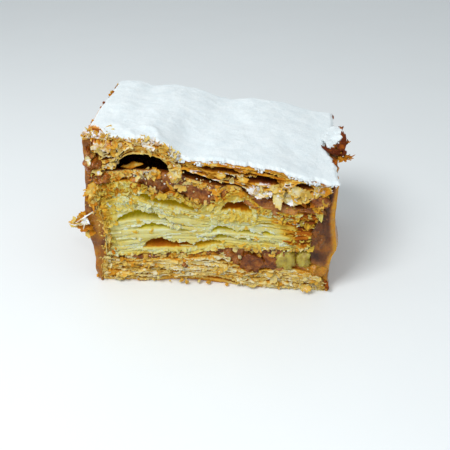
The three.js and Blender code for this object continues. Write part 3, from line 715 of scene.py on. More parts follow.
def cut_face(side, lower, upper, seams, counts, seed, tone, leaf=1.0, crack=0.4, droop=0.3, ledges=0.8,
             ragged=0.5, reach=1.15, deepest=7.0, rough=0.13, bulge=0.28, tuck=lambda x, z: 0 * x):
    """A cut through a stack of leaves. A leaf's edge bulges out by bulge times sin(pi t)^0.6 at a share t of
    its height, and wanders in and out by ledges and ragged. A gap goes in by reach times its height times
    t^1.1 (1 - t)^0.4, so that it is deepest below its roof, and it begins and ends on the edges of the leaves
    beside it. Its value deep, the hollow's painted shade, is greatest under the roof and fades to nothing on
    the floor. The lips of a tall gap are paler than the rest, a painted highlight. tuck sets the front cut
    in."""
    levels, ambers = levels_of(side, lower, upper, seams, counts, leaf, crack, droop, seed)
    shift = 0 if side == "front" else 50
    x = ACROSS
    out = []
    for k in range(len(levels) // 2):
        wander = 0.6 * noise(x / 4.1, 2.3 * k + shift, seed + 10)
        wander = wander + 0.4 * crests(x / 1.7, 4.1 * k + shift, seed + 11)
        fringe = 0.35 * noise(x / 0.8, 0.9 * k + shift, seed + 12)
        out.append(ledges * noise(x / 13, 1.3 * k + shift, seed + 9) + ragged * (wander + fringe))
    rows = []  # of heights, distances inwards and the values deep (the hollow's painted shade), amber and lip (a painted highlight)
    for k in range(len(levels) - 1):
        low, high = levels[k], levels[k + 1]
        if k % 2 == 0:
            count = int(np.clip(round(float(np.mean(high - low)) / LEAF_STEP), 2, 14))
            over = under = 0 * x
            if k + 2 < len(levels):
                over = smooth((levels[k + 2] - high) / 1.5) * (0.5 - ambers[k // 2])
            if k:
                under = smooth((low - levels[k - 1]) / 1.5) * (0.5 - ambers[k // 2 - 1])
            for t in (np.arange(count) + 0.5) / count:
                d = out[k // 2] - bulge * np.sin(np.pi * t) ** 0.6
                rows.append((between(low, high, t), d, 0 * x, 0 * x, over * t**2 + under * (1 - t) ** 2))
        else:
            tall = high - low
            count = int(np.clip(round(float(tall.max()) / GAP_STEP), 3, 14))
            even, floor, roof = evened(tall), out[k // 2], out[k // 2 + 1]
            inner = evened(floor)
            deep = np.minimum(0.25 * crack + reach * even, deepest)
            for t in (np.arange(count) + 0.5) / count:
                inwards = t**1.1 * (1 - t) ** 0.4 / 0.42
                d = inner + (floor - inner) * (1 - t) ** 4 + (roof - inner) * t**4 + deep * inwards
                up = np.minimum(even * t + (tall - even) * t**4, tall)
                rows.append((low + up, d, smooth(deep / 1.6) * t ** (0.6 - 0.3 * ambers[k // 2]),
                             ambers[k // 2], 0 * x))
    u = np.linspace(0, 1, COLUMNS)
    made = []
    for z, *rest in rows:
        left, right = np.interp(LEFT_END, x, z), np.interp(RIGHT_END, x, z)
        where = between(left_inner(left) + CLEAR, right_inner(right) - CLEAR, u)
        made.append([where, *(np.interp(where, x, v) for v in (z, *rest))])
    where, z, d, deep, amber, lip = np.array(made).transpose(1, 2, 0)
    tucked = tuck(where, z) if side == "front" else 0
    d = d + tucked + rough * layered(where / 0.9, z / 0.7, seed + 30)
    ends = smooth(np.minimum(u, 1 - u) * 60)[:, None]
    d = between(0.9, np.maximum(d, -LEAF_OUT), ends)
    values = tone(where, z)
    # lip pales the leaf edges beside a tall gap: a painted highlight
    baked = values["baked"] + 0.5 * amber * (deep > 0) - 0.35 * lip
    return Face(side, where, z, d, deep=deep, amber=amber, baked=baked, dust=values["dust"] - deep)


def scattered(draw, count, corners, density):
    """Random places between two corners, each kept with the chance that density gives there."""
    (x0, z0), (x1, z1) = corners
    x, z = draw.uniform(x0, x1, count), draw.uniform(z0, z1, count)
    kept = draw.uniform(0, 1, count) < density(x, z)
    return x[kept], z[kept]


def patchy(ends, draw, x, z, seed, spread):
    """Values between two ends in patches of a few millimetres, each drawn aside by up to the spread."""
    share = 0.5 + 0.6 * noise(x / 3.2, z / 1.6, seed) + draw.uniform(-spread, spread, len(x))
    return between(*ends, np.clip(share, 0, 1))


def plates(count, seed, corners, density, length, aspect, angle, out, baked, dust=0.2, dome=0.0, torn=0.3,
           tilt=0.35, within=1.1):
    """Flakes that lie on a cut, scattered between two corners. Their lengths, widths as shares of them,
    angles in degrees, heights out of the cut and colourings are drawn between the given ends. dome is how far
    the edge falls away. They cover the cut where it is no further in than within."""
    draw = default_rng(seed)
    x, z = scattered(draw, count, corners, density)
    n = len(x)
    half = draw.uniform(*length, n) / 2
    browned = patchy(baked, draw, x, z, seed, 0.35)
    return dict(x=x, z=z, a=half, b=half * draw.uniform(*aspect, n), turn=np.radians(draw.uniform(*angle, n)),
                out=draw.uniform(*out, n), slopes=draw.normal(0, tilt, (n, 2)), baked=browned,
                dust=draw.uniform(-0.2, dust, n), dome=np.full(n, dome), torn=np.full(n, torn),
                phase=draw.uniform(0, 2 * np.pi, (n, 3)), within=np.full(n, within))


def plated(face, *groups, **marks):
    """The face with plates on it. Where a plate stands further out than the face, the face takes the plate's
    place and colouring, the values in marks, and 0 for its other values. A plate is an ellipse whose edge
    wanders by torn: it stands out from the bare face at its middle by out, plus its slopes along both axes,
    less dome times the square of the distance out."""
    middles, bare = face.x.mean(axis=1), face.d.copy()
    for g in groups:
        for i in range(len(g["x"])):
            a, b = g["a"][i], g["b"][i]
            c0, c1 = np.searchsorted(middles, [g["x"][i] - a - 4, g["x"][i] + a + 4])
            if c1 - c0 < 3:
                continue
            column = face.z[(c0 + c1) // 2]
            r0, r1 = np.searchsorted(column, [g["z"][i] - a - 2, g["z"][i] + a + 2])
            block = (slice(c0, c1), slice(r0, r1))
            below = bare[(c0 + c1) // 2, min(np.searchsorted(column, g["z"][i]), len(column) - 1)]
            if below > g["within"][i]:
                continue
            across, up = face.x[block] - g["x"][i], face.z[block] - g["z"][i]
            c, s = math.cos(g["turn"][i]), math.sin(g["turn"][i])
            p, q = (across * c + up * s) / a, (up * c - across * s) / b
            angle = np.arctan2(q, p)
            waves = np.sin(np.stack([3 * angle, 5 * angle, 9 * angle]) + g["phase"][i][:, None, None])
            rim = 1 + g["torn"][i] * (0.5 * waves[0] + 0.35 * waves[1] + 0.25 * waves[2])
            share = np.hypot(p, q) / rim
            slope = a * (g["slopes"][i][0] * p + g["slopes"][i][1] * q)
            stands = 0.8 * (g["out"][i] - below) + slope - g["dome"][i] * share**2
            now = face.d[block]
            wins = (share < 1) & (-stands < now) & (now < g["within"][i])
            now[wins] = np.maximum(-stands, -PLATE_OUT)[wins]
            new = dict(baked=g["baked"][i] - 0.15 * smooth((share - 0.6) / 0.4), dust=g["dust"][i], **marks)
            for name, values in face.values.items():
                values[block][wins] = np.broadcast_to(new.get(name, 0.0), share.shape)[wins]
    return face


def blurred(values, reach):
    """The mean of an array over the square of cells within reach, along both axes, from running sums."""
    for _ in range(2):
        n = len(values)
        sums = np.concatenate([np.zeros((1, values.shape[1])), np.cumsum(values, axis=0)])
        first, last = np.maximum(np.arange(n) - reach, 0), np.minimum(np.arange(n) + reach + 1, n)
        values = ((sums[last] - sums[first]) / (last - first)[:, None]).T
    return values


def painted_relief_shade(face, name, amount):
    """The face with painted shade and highlights from its own relief: the named value is raised by amount
    where the face lies further in than its surroundings, and lowered by it where the face stands out from
    them, so that recesses come out darker and what stands out lighter."""
    stands_in = np.clip((face.d - blurred(face.d, 5)) / 0.5, -0.4, 1.2)
    face.values[name] = face.values[name] + amount * stands_in
    return face


cut_faces = {"front": [], "back": []}


def unshaded(x, y, z):
    """No shade."""
    return 0 * x


def closed_layer(under, over, front, back, baked, shade):
    """A closed layer from its lower and upper sides and its two cut faces. The sides have the value baked,
    and 0 for the faces' other values. The value shade is a function of the place."""
    loop = (under, back.points(), over[:, ::-1], front.points()[:, ::-1])
    values = {}
    for name in front.values:
        plain = np.full(under.shape[:2], baked if name == "baked" else 0.0)
        values[name] = np.concatenate([plain, back.values[name], plain, front.values[name][:, ::-1]], axis=1)
    return carried_loop(*loop, shade=shade(*np.concatenate(loop, axis=1).transpose(2, 0, 1)), **values)


def sheet(lower, upper, front, back, shade):
    """A closed sheet between its two cut faces, whose lower and upper sides follow lower and upper."""
    def side(row, height):
        y = np.concatenate([FRONT + front.d[:, [row]] + INWARDS, BACK - back.d[:, [row]] - INWARDS[::-1]],
                           axis=1)
        x = np.repeat(np.stack([front.x[:, row], back.x[:, row]], axis=1), len(INWARDS), axis=1)
        return points(x, y, height(x, y))

    cut_faces["front"].append(front)
    cut_faces["back"].append(back)
    return closed_layer(side(0, lower), side(-1, upper), front, back, 0.6, shade)


def anywhere(x, z):
    """The same chance everywhere."""
    return 0 * x + 1.0


# ---- The three sheets ----
SPLIT_OVERLAP = 0.15
split_line = boundary(
    [[-45, 25], [-36, 25.6], [-30, 27], [-22, 27.9], [-16, 27.2], [-10, 26.4], [-4, 26.2], [0, 27.6], [6, 28],
     [14, 27.8], [20, 27.4], [28, 26.4], [45, 26.5]], [[-45, 26], [-20, 27.5], [5, 25.5], [45, 25]], 0.3, 7)
lower_seams = [
    Seam([[-45, 14.5], [-35, 14.8], [-28, 16], [-22, 16.6], [-15, 17.2], [-10, 17.2], [-5, 17.8], [0, 18.8],
          [4, 19.8], [10, 19.9], [20, 19.6], [30, 19.8], [45, 21]], (-21, 7.4, 4.0, 1.0),
         (-11.5, 3.6, 2.4, 0.7), (-2.4, 6.2, 2.7, 0.35), (26, 4, 0.5, 0.3)),
    Seam([[-45, 17.5], [-35, 18.2], [-30, 19.2], [-20, 21.6], [-10, 21.6], [0, 21.4], [5, 21.6], [12, 21.3],
          [20, 21.2], [30, 21.5], [45, 23]], (4, 4.8, 2.2, 0), (12.8, 4.6, 1.8, 0), (-8, 5, 0.8, 0),
         (20.5, 4, 1.0, 0), (-31, 4.5, 1.1, 0)),
    Seam([[-45, 22], [-35, 23.2], [-28, 24.3], [-20, 24.7], [-10, 24.1], [-3, 23.6], [0, 24.4], [6, 24.6],
          [12, 24.4], [20, 24], [26, 24.4], [32, 24.2], [45, 25]], (-22, 7.6, 2.7, 0), (-12, 5, 1.3, 0),
         (3.4, 5.4, 2.9, 0), (12.6, 3.7, 2.3, 0), (19.6, 2.9, 2.1, 0), (-33, 3, 0.8, 0), (29, 3, 0.9, 0.5))]
upper_seams = [
    Seam([[-45, 27], [-38, 26.8], [-33, 27.3], [-27, 28.2], [-22, 28.5], [-17, 28], [-10, 27.4], [-4, 27.3],
          [0, 28.4], [6, 29.2], [14, 29], [20, 28.6], [28, 28], [45, 28.5]], (-28.2, 8.6, 4.9, 0),
         (-19, 4, 1.6, 0), (20, 2.6, 1.3, 0.2), (31, 3, 1.0, 0.9)),
    Seam([[-45, 31], [-40, 33], [-35, 35], [-29, 35.8], [-23, 34.6], [-16, 32.3], [-10, 31], [-4, 30],
          [0, 30.5], [6, 31.5], [14, 31], [20, 30.6], [28, 30], [45, 30.5]], (-36, 4, 1.0, 0.3),
         (-8, 4, 0.5, 0)),
    Seam([[-45, 36.5], [-38, 38.6], [-32, 39], [-27, 37.4], [-22, 35.4], [-17, 34.4], [-12, 33.4], [-7, 32.4],
          [-3, 32], [1, 33], [5, 33.7], [10, 33.8], [14, 33.2], [18, 32.4], [24, 31.6], [45, 31.5]],
         (-24.5, 4.6, 3.0, 0.1), (-16, 6, 4.0, 0.15), (-8.6, 3.6, 3.3, 0.2), (8.2, 6.2, 4.2, 1.0))]


def flow(x, z):
    """The slope in degrees of the middle sheet's nearest seam."""
    seams = lower_seams + upper_seams
    heights = np.stack([s.line(x) for s in seams])
    slopes = np.stack([s.line(x + 0.5) - s.line(x - 0.5) for s in seams])
    nearest = np.abs(heights - z).argmin(axis=0)
    return np.degrees(np.arctan(np.take_along_axis(slopes, nearest[None], 0)[0]))


def pale_tone(x, z):
    """The middle sheet: cream at its heart, golden to brown by its faces and ends, browner at the right."""
    above, below = middle_top(x, FRONT) - z, z - middle_underside(x, FRONT)
    crust = 0.62 * bump(np.maximum(above, 0), 0, 2.0 + 3.4 * smooth((-24 - x) / 8))
    under = 0.34 * bump(np.maximum(below, 0), 0, 1.6)
    left = smooth((-36 - x) / 7) * (0.2 + 0.25 * smooth((z - 23) / 5))
    right = (0.85 + 0.3 * noise(x / 7, z / 0.8, 201)) * right_end(x, z)
    heart = 0.1 + 0.1 * smooth((z - 27) / 6) + 0.1 * noise(x / 5, z / 2, 200)
    return dict(baked=heart + np.maximum.reduce([crust, under, left, right]), dust=-0.3 + 0 * x)


def near_middle_top(x, z):
    """Along the upper edge of the middle sheet, and deeper into it at the left."""
    above = middle_top(x, FRONT) - z
    return (above > -0.2) * bump(np.maximum(above, 0), 0, 1.5 + 3.2 * smooth((-24 - x) / 8))


def along(boundary, above, half_width):
    """A chance that is greatest a little above a boundary."""
    return lambda x, z: bump(z, boundary(x, FRONT) + above, half_width)


def left_end(x, z):
    """Towards the left coat."""
    return smooth((-35 - x) / 5)


def right_end(x, z):
    """Towards the right coat, from a line that leans out to the right as it goes down."""
    return smooth((x - 18.5 - 0.7 * (31 - z) - 2.5 * noise(x / 9, z / 0.9, 202)) / 9)


def roofs(x, z):
    """Along the roofs of the middle sheet's hollows."""
    seams = lower_seams + upper_seams
    return np.maximum.reduce([bump(z, s.line(x) + s.height(x) + 0.2, 0.5) * smooth(s.height(x) / 0.8)
                              for s in seams])


def along_flow(group, spread, seed):
    """The plates turned to lie along the seams, give or take the spread in degrees."""
    draw = default_rng(seed)
    group["turn"] = np.radians(flow(group["x"], group["z"]) + draw.normal(0, spread, len(group["x"])))
    return group


# Rows of plates: how many, seed, corners, density, lengths, widths, angles, heights out, browning and dust.
MIDDLE = ((-45, 12), (43, 45))
middle_plates = [
    along_flow(plates(160, 220, ((-38, 14), (26, 38)), anywhere, (3, 9), (0.08, 0.2), (0, 0), (-0.2, 0.1),
                      (-0.18, 0.14), -0.1, tilt=0.08), 4, 221),
    plates(260, 222, ((-36, 31.5), (-8, 38.5)), anywhere, (1.2, 3.4), (0.35, 0.8), (-60, 40), (-0.1, 0.5),
           (-0.05, 0.42), 0.0),
    plates(170, 223, ((0, 29), (16, 34.6)), anywhere, (1, 3.2), (0.5, 0.95), (-90, 90), (0.0, 0.5),
           (0.05, 0.42), 0.0, dome=0.25),
    plates(1500, 233, ((-40, 16), (34, 40)), roofs, (0.9, 2.8), (0.35, 0.9), (-40, 40), (-0.1, 0.4),
           (-0.2, 0.1), 0.5, dome=0.3, torn=0.5, within=2.0),
    plates(30, 224, ((-34, 22), (22, 38)), anywhere, (1.3, 2.8), (0.6, 1), (-90, 90), (0.1, 0.5), (0.3, 0.5),
           0.0, dome=0.3),
    plates(300, 225, MIDDLE, left_end, (1.6, 5), (0.3, 0.6), (5, 50), (-0.1, 0.7), (0.0, 0.6), 0.0),
    plates(520, 226, MIDDLE, right_end, (2, 7), (0.08, 0.25), (-22, 6), (-0.1, 0.6), (0.25, 0.9), -0.1,
           tilt=0.2),
    plates(90, 227, MIDDLE, right_end, (0.8, 1.8), (0.6, 1), (-90, 90), (0.1, 0.8), (0.35, 0.8), 0.0,
           dome=0.4),
    plates(1200, 228, ((-45, 33), (43, 46)), near_middle_top, (1.2, 4), (0.25, 0.7), (-90, 90), (0.0, 0.9),
           (0.05, 0.68), 0.1, torn=0.4),
    plates(500, 229, ((-45, 33), (43, 46)), near_middle_top, (0.8, 1.8), (0.6, 1), (-90, 90), (0.2, 1.0),
           (0.1, 0.65), 0.1, dome=0.45),
    plates(700, 230, ((-45, 12), (43, 22)), along(middle_underside, 0.5, 1.0), (1.4, 4.6), (0.2, 0.6),
           (-12, 22), (0.0, 0.7), (0.0, 0.45), 0.1, within=0.4)]
back_plates = [
    plates(700, 231, ((-45, 1), (43, 60)), anywhere, (1.5, 5), (0.15, 0.5), (-15, 15), (-0.2, 0.5),
           (0.0, 0.8), 0.1),
    plates(500, 232, ((-45, 1), (43, 60)), anywhere, (0.9, 2.2), (0.5, 1), (-90, 90), (0.0, 0.7), (0.1, 0.8),
           0.3, dome=0.3)]


def leafy_sheet(lower, upper, seams, counts, seed, tone, front_plates, relief_shade_amounts, shade=unshaded, **style):
    """A sheet of leaves with plates on both of its cuts, each given painted shade in its recesses and painted
    highlights where it stands out, by its own amount.
    """
    faces = []
    for side, group, amount in (("front", front_plates, relief_shade_amounts[0]), ("back", back_plates, relief_shade_amounts[1])):
        face = cut_face(side, lower, upper, seams, counts, seed, tone, **style)
        faces.append(painted_relief_shade(plated(face, *group), "baked", amount))
    return sheet(lower, upper, *faces, shade)


def lower_part_top(x, y):
    """The top of the middle sheet's lower part, a little inside its upper part."""
    return split_line(x, y) + SPLIT_OVERLAP


middle_style = dict(tone=pale_tone, front_plates=middle_plates, relief_shade_amounts=(0, 0.14), leaf=1.0, crack=0.05,
                    droop=0.25, ledges=0.65, ragged=0.24, rough=0.05, bulge=0.2)
piece("middle_pastry_lower_leaves",
      leafy_sheet(middle_underside, lower_part_top, lower_seams, (2, 2, 2, 1), 50, **middle_style),
      "pale_pastry", "middle_pastry")
piece("middle_pastry_upper_leaves",
      leafy_sheet(split_line, middle_top, upper_seams, (1, 2, 2, 2), 56, **middle_style),
      "pale_pastry", "middle_pastry")


def crisp_tone(x, z):
    """The bottom sheet between its flakes: golden, in slow patches."""
    return dict(baked=0.36 + 0.3 * noise(x / 6, z / 0.8, 210), dust=0 * x)


def bottom_tuck(x, z):
    """The lowest leaves draw back from the front cut in the middle of the slice."""
    return np.maximum(2.9 - 0.5 * z, 0) * bump(x, -8, 19)


def floor_level(x, y):
    """The bottom sheet's underside, just clear of the floor."""
    return 0 * x + 0.02


bottom_seams = [
    Seam([[-45, 2.6], [-30, 3.4], [-15, 4], [0, 4.3], [10, 4], [25, 3], [45, 2.2]],
         (-29, 4, 1.0, 0.3), (2, 4.4, 1.1, 0.2), (-11, 4, 0.8, 0.3), (22, 5, 0.8, 0.2), (33, 4, 0.6, 0.2)),
    Seam([[-45, 5.4], [-30, 5.8], [-15, 6.4], [0, 6.6], [10, 6], [20, 4.8], [45, 4]],
         (-35, 4.5, 1.0, 0.3), (-20, 5, 0.9, 0.2), (-4, 4, 0.8, 0.1), (7, 3, 0.7, 0.1), (28, 5, 0.7, 0.2)),
    Seam([[-45, 8], [-30, 8], [-15, 8.4], [0, 8.6], [8, 7.4], [20, 6.6], [45, 5.4]],
         (-38, 4, 1.1, 0.4), (-26, 4, 0.8, 0.2), (-14, 4, 0.8, 0.2), (-1, 4.5, 1.1, 0.3), (24, 5, 0.8, 0.2)),
    Seam([[-45, 9.6], [-30, 9.8], [-15, 10.4], [0, 11.6], [5, 11.2], [9, 8.8], [14, 6.7], [20, 7.6],
          [45, 6.2]], (3.5, 2.2, 1.8, 0.2), (-27, 3, 0.6, 0.3))]
BOTTOM = ((-45, 0.2), (43, 15))
bottom_plates = [
    plates(700, 240, BOTTOM, anywhere, (2, 7), (0.14, 0.34), (-13, 13), (-0.2, 0.45), (-0.2, 0.46), 0.35,
           tilt=0.2, within=0.8),
    plates(90, 241, BOTTOM, anywhere, (0.9, 2.4), (0.5, 1), (-90, 90), (0.0, 0.6), (-0.1, 0.4), 0.15,
           dome=0.25, within=0.6),
    plates(60, 242, ((9.5, 4), (15, 9.5)), anywhere, (1.5, 4), (0.2, 0.5), (-60, -30), (0.1, 0.7),
           (0.5, 0.72), -0.1, tilt=0.12),
    plates(26, 243, ((-42, 1), (-37.5, 4.5)), anywhere, (1, 3), (0.4, 0.9), (-40, 40), (0.3, 0.9),
           (0.62, 0.85), -0.1, dome=0.3)]
bottom_leaves = leafy_sheet(floor_level, bottom_top, bottom_seams, (2, 2, 2, 2, 1), 40, crisp_tone,
                            bottom_plates, (0.24, 0.3), leaf=0.8, crack=0.45, droop=0.35, ledges=0.7,
                            ragged=0.5, reach=1.8, tuck=bottom_tuck)
piece("bottom_pastry_leaves", bottom_leaves, "crisp_pastry", "bottom_pastry")


def top_lower(x, y):
    """The underside of the top sheet, with the pocket's arch."""
    return top_underside(x, y) + pocket_lift(x, y)


RIM = 0.75
# In the top sheet a hollow's share of amber takes its inside towards the darkest crisp colours: a painted
# shade in the gaps between its leaves.
top_seams = [
    Seam(lambda x: top_lower(x, FRONT) + RIM),
    Seam([[-45, 53], [-36, 53], [-30, 57.5], [-22, 57.4], [-17, 54.6], [-12, 51], [-6, 49.6], [0, 48.2],
          [6, 46.7], [12, 46], [18, 45.4], [22, 45.4], [27, 43.2], [32, 43.4], [37, 43.6], [45, 43.4]],
         (11, 9.5, 2.6, 0.6), (20, 4.6, 2.6, 0.6), (-37, 2.8, 1.7, 0.3), (32, 4.8, 3.4, 0.6)),
    Seam([[-45, 56], [-37, 56.5], [-30, 58.3], [-22, 58.2], [-17, 56], [-12, 52.6], [-7, 50.6], [-2, 49.9],
          [3, 49.8], [8, 49.2], [13, 48.2], [20, 47.9], [27, 47.5], [33, 46.7], [40, 45], [45, 44.6]],
         (3, 6.4, 2.7, 0.6), (-6.5, 5, 1.7, 0.6), (18, 9, 1.6, 0.5), (-41, 2.5, 0.9, 0),
         (39.5, 2.8, 1.1, 0.5)),
    Seam([[-45, 58.5], [-37, 58.8], [-30, 59.2], [-22, 58.8], [-17, 57], [-12, 53.4], [-7, 51.9], [0, 51.9],
          [8, 51.4], [16, 50], [24, 48.9], [32, 47.4], [45, 45.2]], (10, 7, 0.5, 0), (24, 4, 0.5, 0))]


def top_tone(x, z):
    """The top sheet: red-brown between the flakes at its left end, a clean golden rim on the arch, and golden
    brown leaves, dusted with sugar, at the right."""
    left = smooth((-35 - x) / 4)
    over = z - top_lower(x, FRONT)
    rim = (np.abs(x - POCKET_X) < POCKET_HALF + 4) * bump(over, 0.3, 0.6)
    baked = 0.58 + 0.25 * left + 0.1 * (x > -12) + 0.22 * noise(x / 4, z / 1.2, 210) - 0.2 * rim
    return dict(baked=baked, dust=0.3 + 0.5 * noise(x / 3.4, z / 0.8, 213) - 0.7 * (x < -14))


def off_the_rim(x, z):
    """Over the left end of the top sheet and above the arch, clear of the arch's rim."""
    rim = (np.abs(x - POCKET_X) < POCKET_HALF + 3.5) & (z < top_lower(x, FRONT) + RIM + 0.1)
    return (~rim) * (0.4 + 0.4 * smooth((-30 - x) / 6))


TOP = ((-45.5, 46), (-13, 62))
top_plates = [
    plates(520, 250, TOP, off_the_rim, (1.8, 5), (0.3, 0.75), (-90, 90), (-0.1, 0.9), (0.08, 0.72), 0.7,
           torn=0.45, tilt=0.25),
    plates(70, 251, TOP, off_the_rim, (0.9, 1.9), (0.6, 1), (-90, 90), (0.2, 1.2), (0.0, 0.6), 0.3, dome=0.4),
    plates(120, 252, ((-14, 38), (44, 54)), anywhere, (2.5, 8), (0.1, 0.25), (-16, 2), (-0.1, 0.5),
           (0.0, 0.8), 0.8, tilt=0.15, within=0.4),
    plates(50, 253, ((3, 38), (44, 47)), anywhere, (1.2, 3.4), (0.4, 0.9), (-90, 90), (0.0, 0.8), (0.0, 0.6),
           0.9, torn=0.45, within=0.4),
    plates(40, 254, ((-14, 38), (44, 54)), anywhere, (0.9, 1.9), (0.6, 1), (-90, 90), (0.1, 0.8), (0.2, 0.7),
           0.5, dome=0.4, within=0.4)]


def pocket_shade(x, y, z):
    """Painted shade inside the pocket."""
    return smooth((y - FRONT - 1.0) / 1.5) * (y < 0) * (np.abs(x - POCKET_X) < POCKET_HALF + 2) * 0.9


top_leaves = leafy_sheet(top_lower, top_top, top_seams, (1, 2, 2, 2, 1), 60, top_tone, top_plates,
                         (0.46, 0.38), pocket_shade, leaf=0.7, crack=0.4, droop=0.35, ledges=0.7, ragged=0.5,
                         reach=3.2, deepest=9.0)
piece("top_pastry_leaves", top_leaves, "crisp_pastry", "top_pastry")


# ---- Caramel between the sheets ----
def caramel_sheet(lower, upper, seed, thin, dust, crumbs):
    """A caramel layer. Its two cut faces are drawn out in long soft folds, which lean with the layer, with
    finer creases along them, and crumbs stick to them. Behind its front edge the pocket is dark."""
    u, rise = np.linspace(0, 1, COLUMNS), np.linspace(0, 1, 38)[1:-1]
    rows_in = np.array([0, 0.6, 1.6, 4, 9, 18.0])
    nominal = (u - 0.5) * 0.95 * LENGTH
    about = (lower(nominal, FRONT) + upper(nominal, FRONT)) / 2
    x = between(left_inner(about), right_inner(about), u)[:, None]

    def set_in(s, shift):
        folds = 0.8 * noise(x / 6 + 0.8 * s, 1.6 * s + shift, seed)
        creases = 0.3 * crests(x / 3.4 + 0.9 * s, 2.4 * s + shift, seed + 1)
        fine = 0.3 * noise(x / 1.7 + s, 3.7 * s + shift, seed + 2)
        fine = fine + 0.16 * layered(x / 0.9, 5 * s + shift, seed + 3)
        return 0.5 - folds - creases - fine + 0.35 * np.abs(2 * s - 1) ** 5

    def rows(height, s):
        depth = np.concatenate([rows_in, rows_in[::-1]])[None]
        front = (np.arange(2 * len(rows_in)) < len(rows_in))[None]
        y = np.where(front, FRONT + set_in(s, 0) + depth, BACK - set_in(s, 40) - depth)
        return points(x, y, height(x, y))

    def face(side, shift):
        s, edge = rise[None], FRONT if side == "front" else BACK
        wander = 0.3 * layered(x / 3, 2 * s + shift, seed + 6)
        z = between(lower(x, edge), upper(x, edge), s) + wander * np.sin(np.pi * s)
        flat = 0 * z
        return Face(side, x + flat, z, set_in(s, shift) + flat, thin=thin(x, z) + flat,
                    dust=dust(x, z) + flat, crumb=0 * z, baked=0 * z)

    strays = plates(900, seed, ((-46, 5), (43, 50)), anywhere, (0.8, 3), (0.3, 0.8), (-60, 60), (-0.1, 0.6),
                    (0.1, 0.8), 0.3)
    # painted shade in the caramel's recesses and painted highlights where it stands out
    front = painted_relief_shade(plated(face("front", 0), *crumbs, crumb=1.0), "thin", -0.25)
    back = painted_relief_shade(plated(face("back", 40), strays, crumb=1.0), "thin", -0.25)

    # painted shade on the layer's top away from its cuts, which shows dark in the pocket
    def shade(x, y, z):
        return 0.9 * (smooth((y - FRONT - 2.2) / 2.0) * smooth((BACK - 4 - y) / 4) * (z > lower(x, y) + 0.4))

    return closed_layer(rows(lower, 0.0), rows(upper, 1.0), front, back, 0.0, shade)


def upper_thin(x, z):
    """Where the upper caramel is thin and orange: under the pocket, and in patches along its lower edge."""
    low = bump(z, middle_top(x, FRONT), 1.6)
    return 0.75 * bump(x, -28, 3) * bump(z, 45.3, 1.8) + 0.3 * low * noise(x / 3, 0, 75)


def lower_thin(x, z):
    """Where the lower caramel is thin and orange: at its right end, and in a band that falls to the right."""
    band = bump(z - 16 + 0.9 * (x - 3), 0, 1.6) * bump(x, 7, 6)
    return 0.85 * smooth((x - 31) / 6) * smooth((14 - z) / 4) + 0.35 * band - 0.2 * bump(x, 17, 5)


def upper_caramel_top(x, y):
    """The upper caramel's top, which sinks behind its front edge in the pocket."""
    sunk = 3.4 * smooth((y - FRONT - 1.4) / 3.5) * (1 - smooth((y - FRONT - 14) / 5)) * bump(x, POCKET_X, 9)
    return np.minimum(caramel_top(x, y), top_underside(x, y)) - sunk


def upper_dust_and_glints(x, z):
    """Sugar and painted highlights on the upper caramel: under the pocket and right of it, and a little at
    the far right.
    """
    drifts = 0.2 * bump(x, -21, 6) * bump(z, 45.5, 2.6) + 0.2 * bump(x, -5, 5) * bump(z, 43, 2)
    return drifts + 0.12 + 0.1 * bump(x, 36, 3)


def little_dust(x, z):
    """Hardly any sugar on the lower caramel."""
    return 0 * x - 0.1


def beside_the_pocket(x, z):
    """Left of the pocket and along its floor, down to the middle sheet."""
    left = smooth((-29 - x) / 3) * (1 - 0.7 * bump(x, -40, 4) * smooth((z - 42) / 2))
    return np.maximum(left, 0.75 * bump(x, -25.5, 2.4) * smooth((z - 45.5) / 1.5))


def on_the_caramel(x, z):
    """In drifts right of the pocket, over the ridge, and thick at the far right."""
    drift = bump(x, -5, 6) * smooth((z - 41) / 2.5) + 0.8 * bump(x, 7, 5) + smooth((x - 33) / 4)
    return 0.05 + drift * (0.3 + 0.9 * smooth(noise(x / 3, z / 2, 76) + 0.5))


def along_its_foot(x, z):
    """Where the caramel meets the middle sheet."""
    return bump(z, middle_top(x, FRONT) + 0.4, 0.9) * (x < 18)


UPPER = ((-46, 33), (43, 50))
upper_crumbs = [
    plates(180, 600, ((-46, 41), (-25, 50)), beside_the_pocket, (1.6, 5), (0.35, 0.8), (-90, 90), (-0.1, 1.0),
           (0.1, 0.66), 0.3, torn=0.4),
    plates(90, 601, ((-46, 41), (-25, 50)), beside_the_pocket, (0.7, 1.6), (0.6, 1), (-90, 90), (0.1, 0.9),
           (0.1, 0.65), 0.3, dome=0.4),
    # white crumbs under the pocket: partly real crumbs and partly painted glints
    plates(70, 602, ((-28.5, 46), (-22, 50)), anywhere, (0.7, 2), (0.5, 1), (-90, 90), (0.3, 1.1),
           (-0.2, 0.1), 0.9, dome=0.3),
    plates(420, 603, UPPER, on_the_caramel, (1.6, 4.6), (0.35, 0.8), (-60, 30), (-0.1, 0.6), (0.1, 0.6), 0.4,
           torn=0.45),
    plates(500, 604, UPPER, on_the_caramel, (0.5, 1.4), (0.6, 1), (-90, 90), (0.0, 0.6), (0.0, 0.5), 0.7,
           dome=0.3, torn=0.4),
    plates(600, 605, UPPER, along_its_foot, (1.2, 3.8), (0.4, 0.8), (-90, 90), (0.0, 0.9), (0.18, 0.66), 0.2,
           torn=0.4)]
lower_crumbs = [
    plates(420, 610, ((-45, 9), (43, 20)), lambda x, z: 0.25 + 0.75 * bump(x, 19, 5) * bump(z, 15.6, 1.2),
           (0.7, 2.6), (0.4, 1), (-40, 40), (-0.1, 0.8), (0.0, 0.6), 0.25, dome=0.3),
    plates(480, 611, ((-45, 8), (6, 16)), along(bottom_top, 0.5, 0.8), (0.8, 2.8),
           (0.3, 0.8), (-40, 40), (-0.1, 0.8), (0.0, 0.66), 0.2, torn=0.4)]
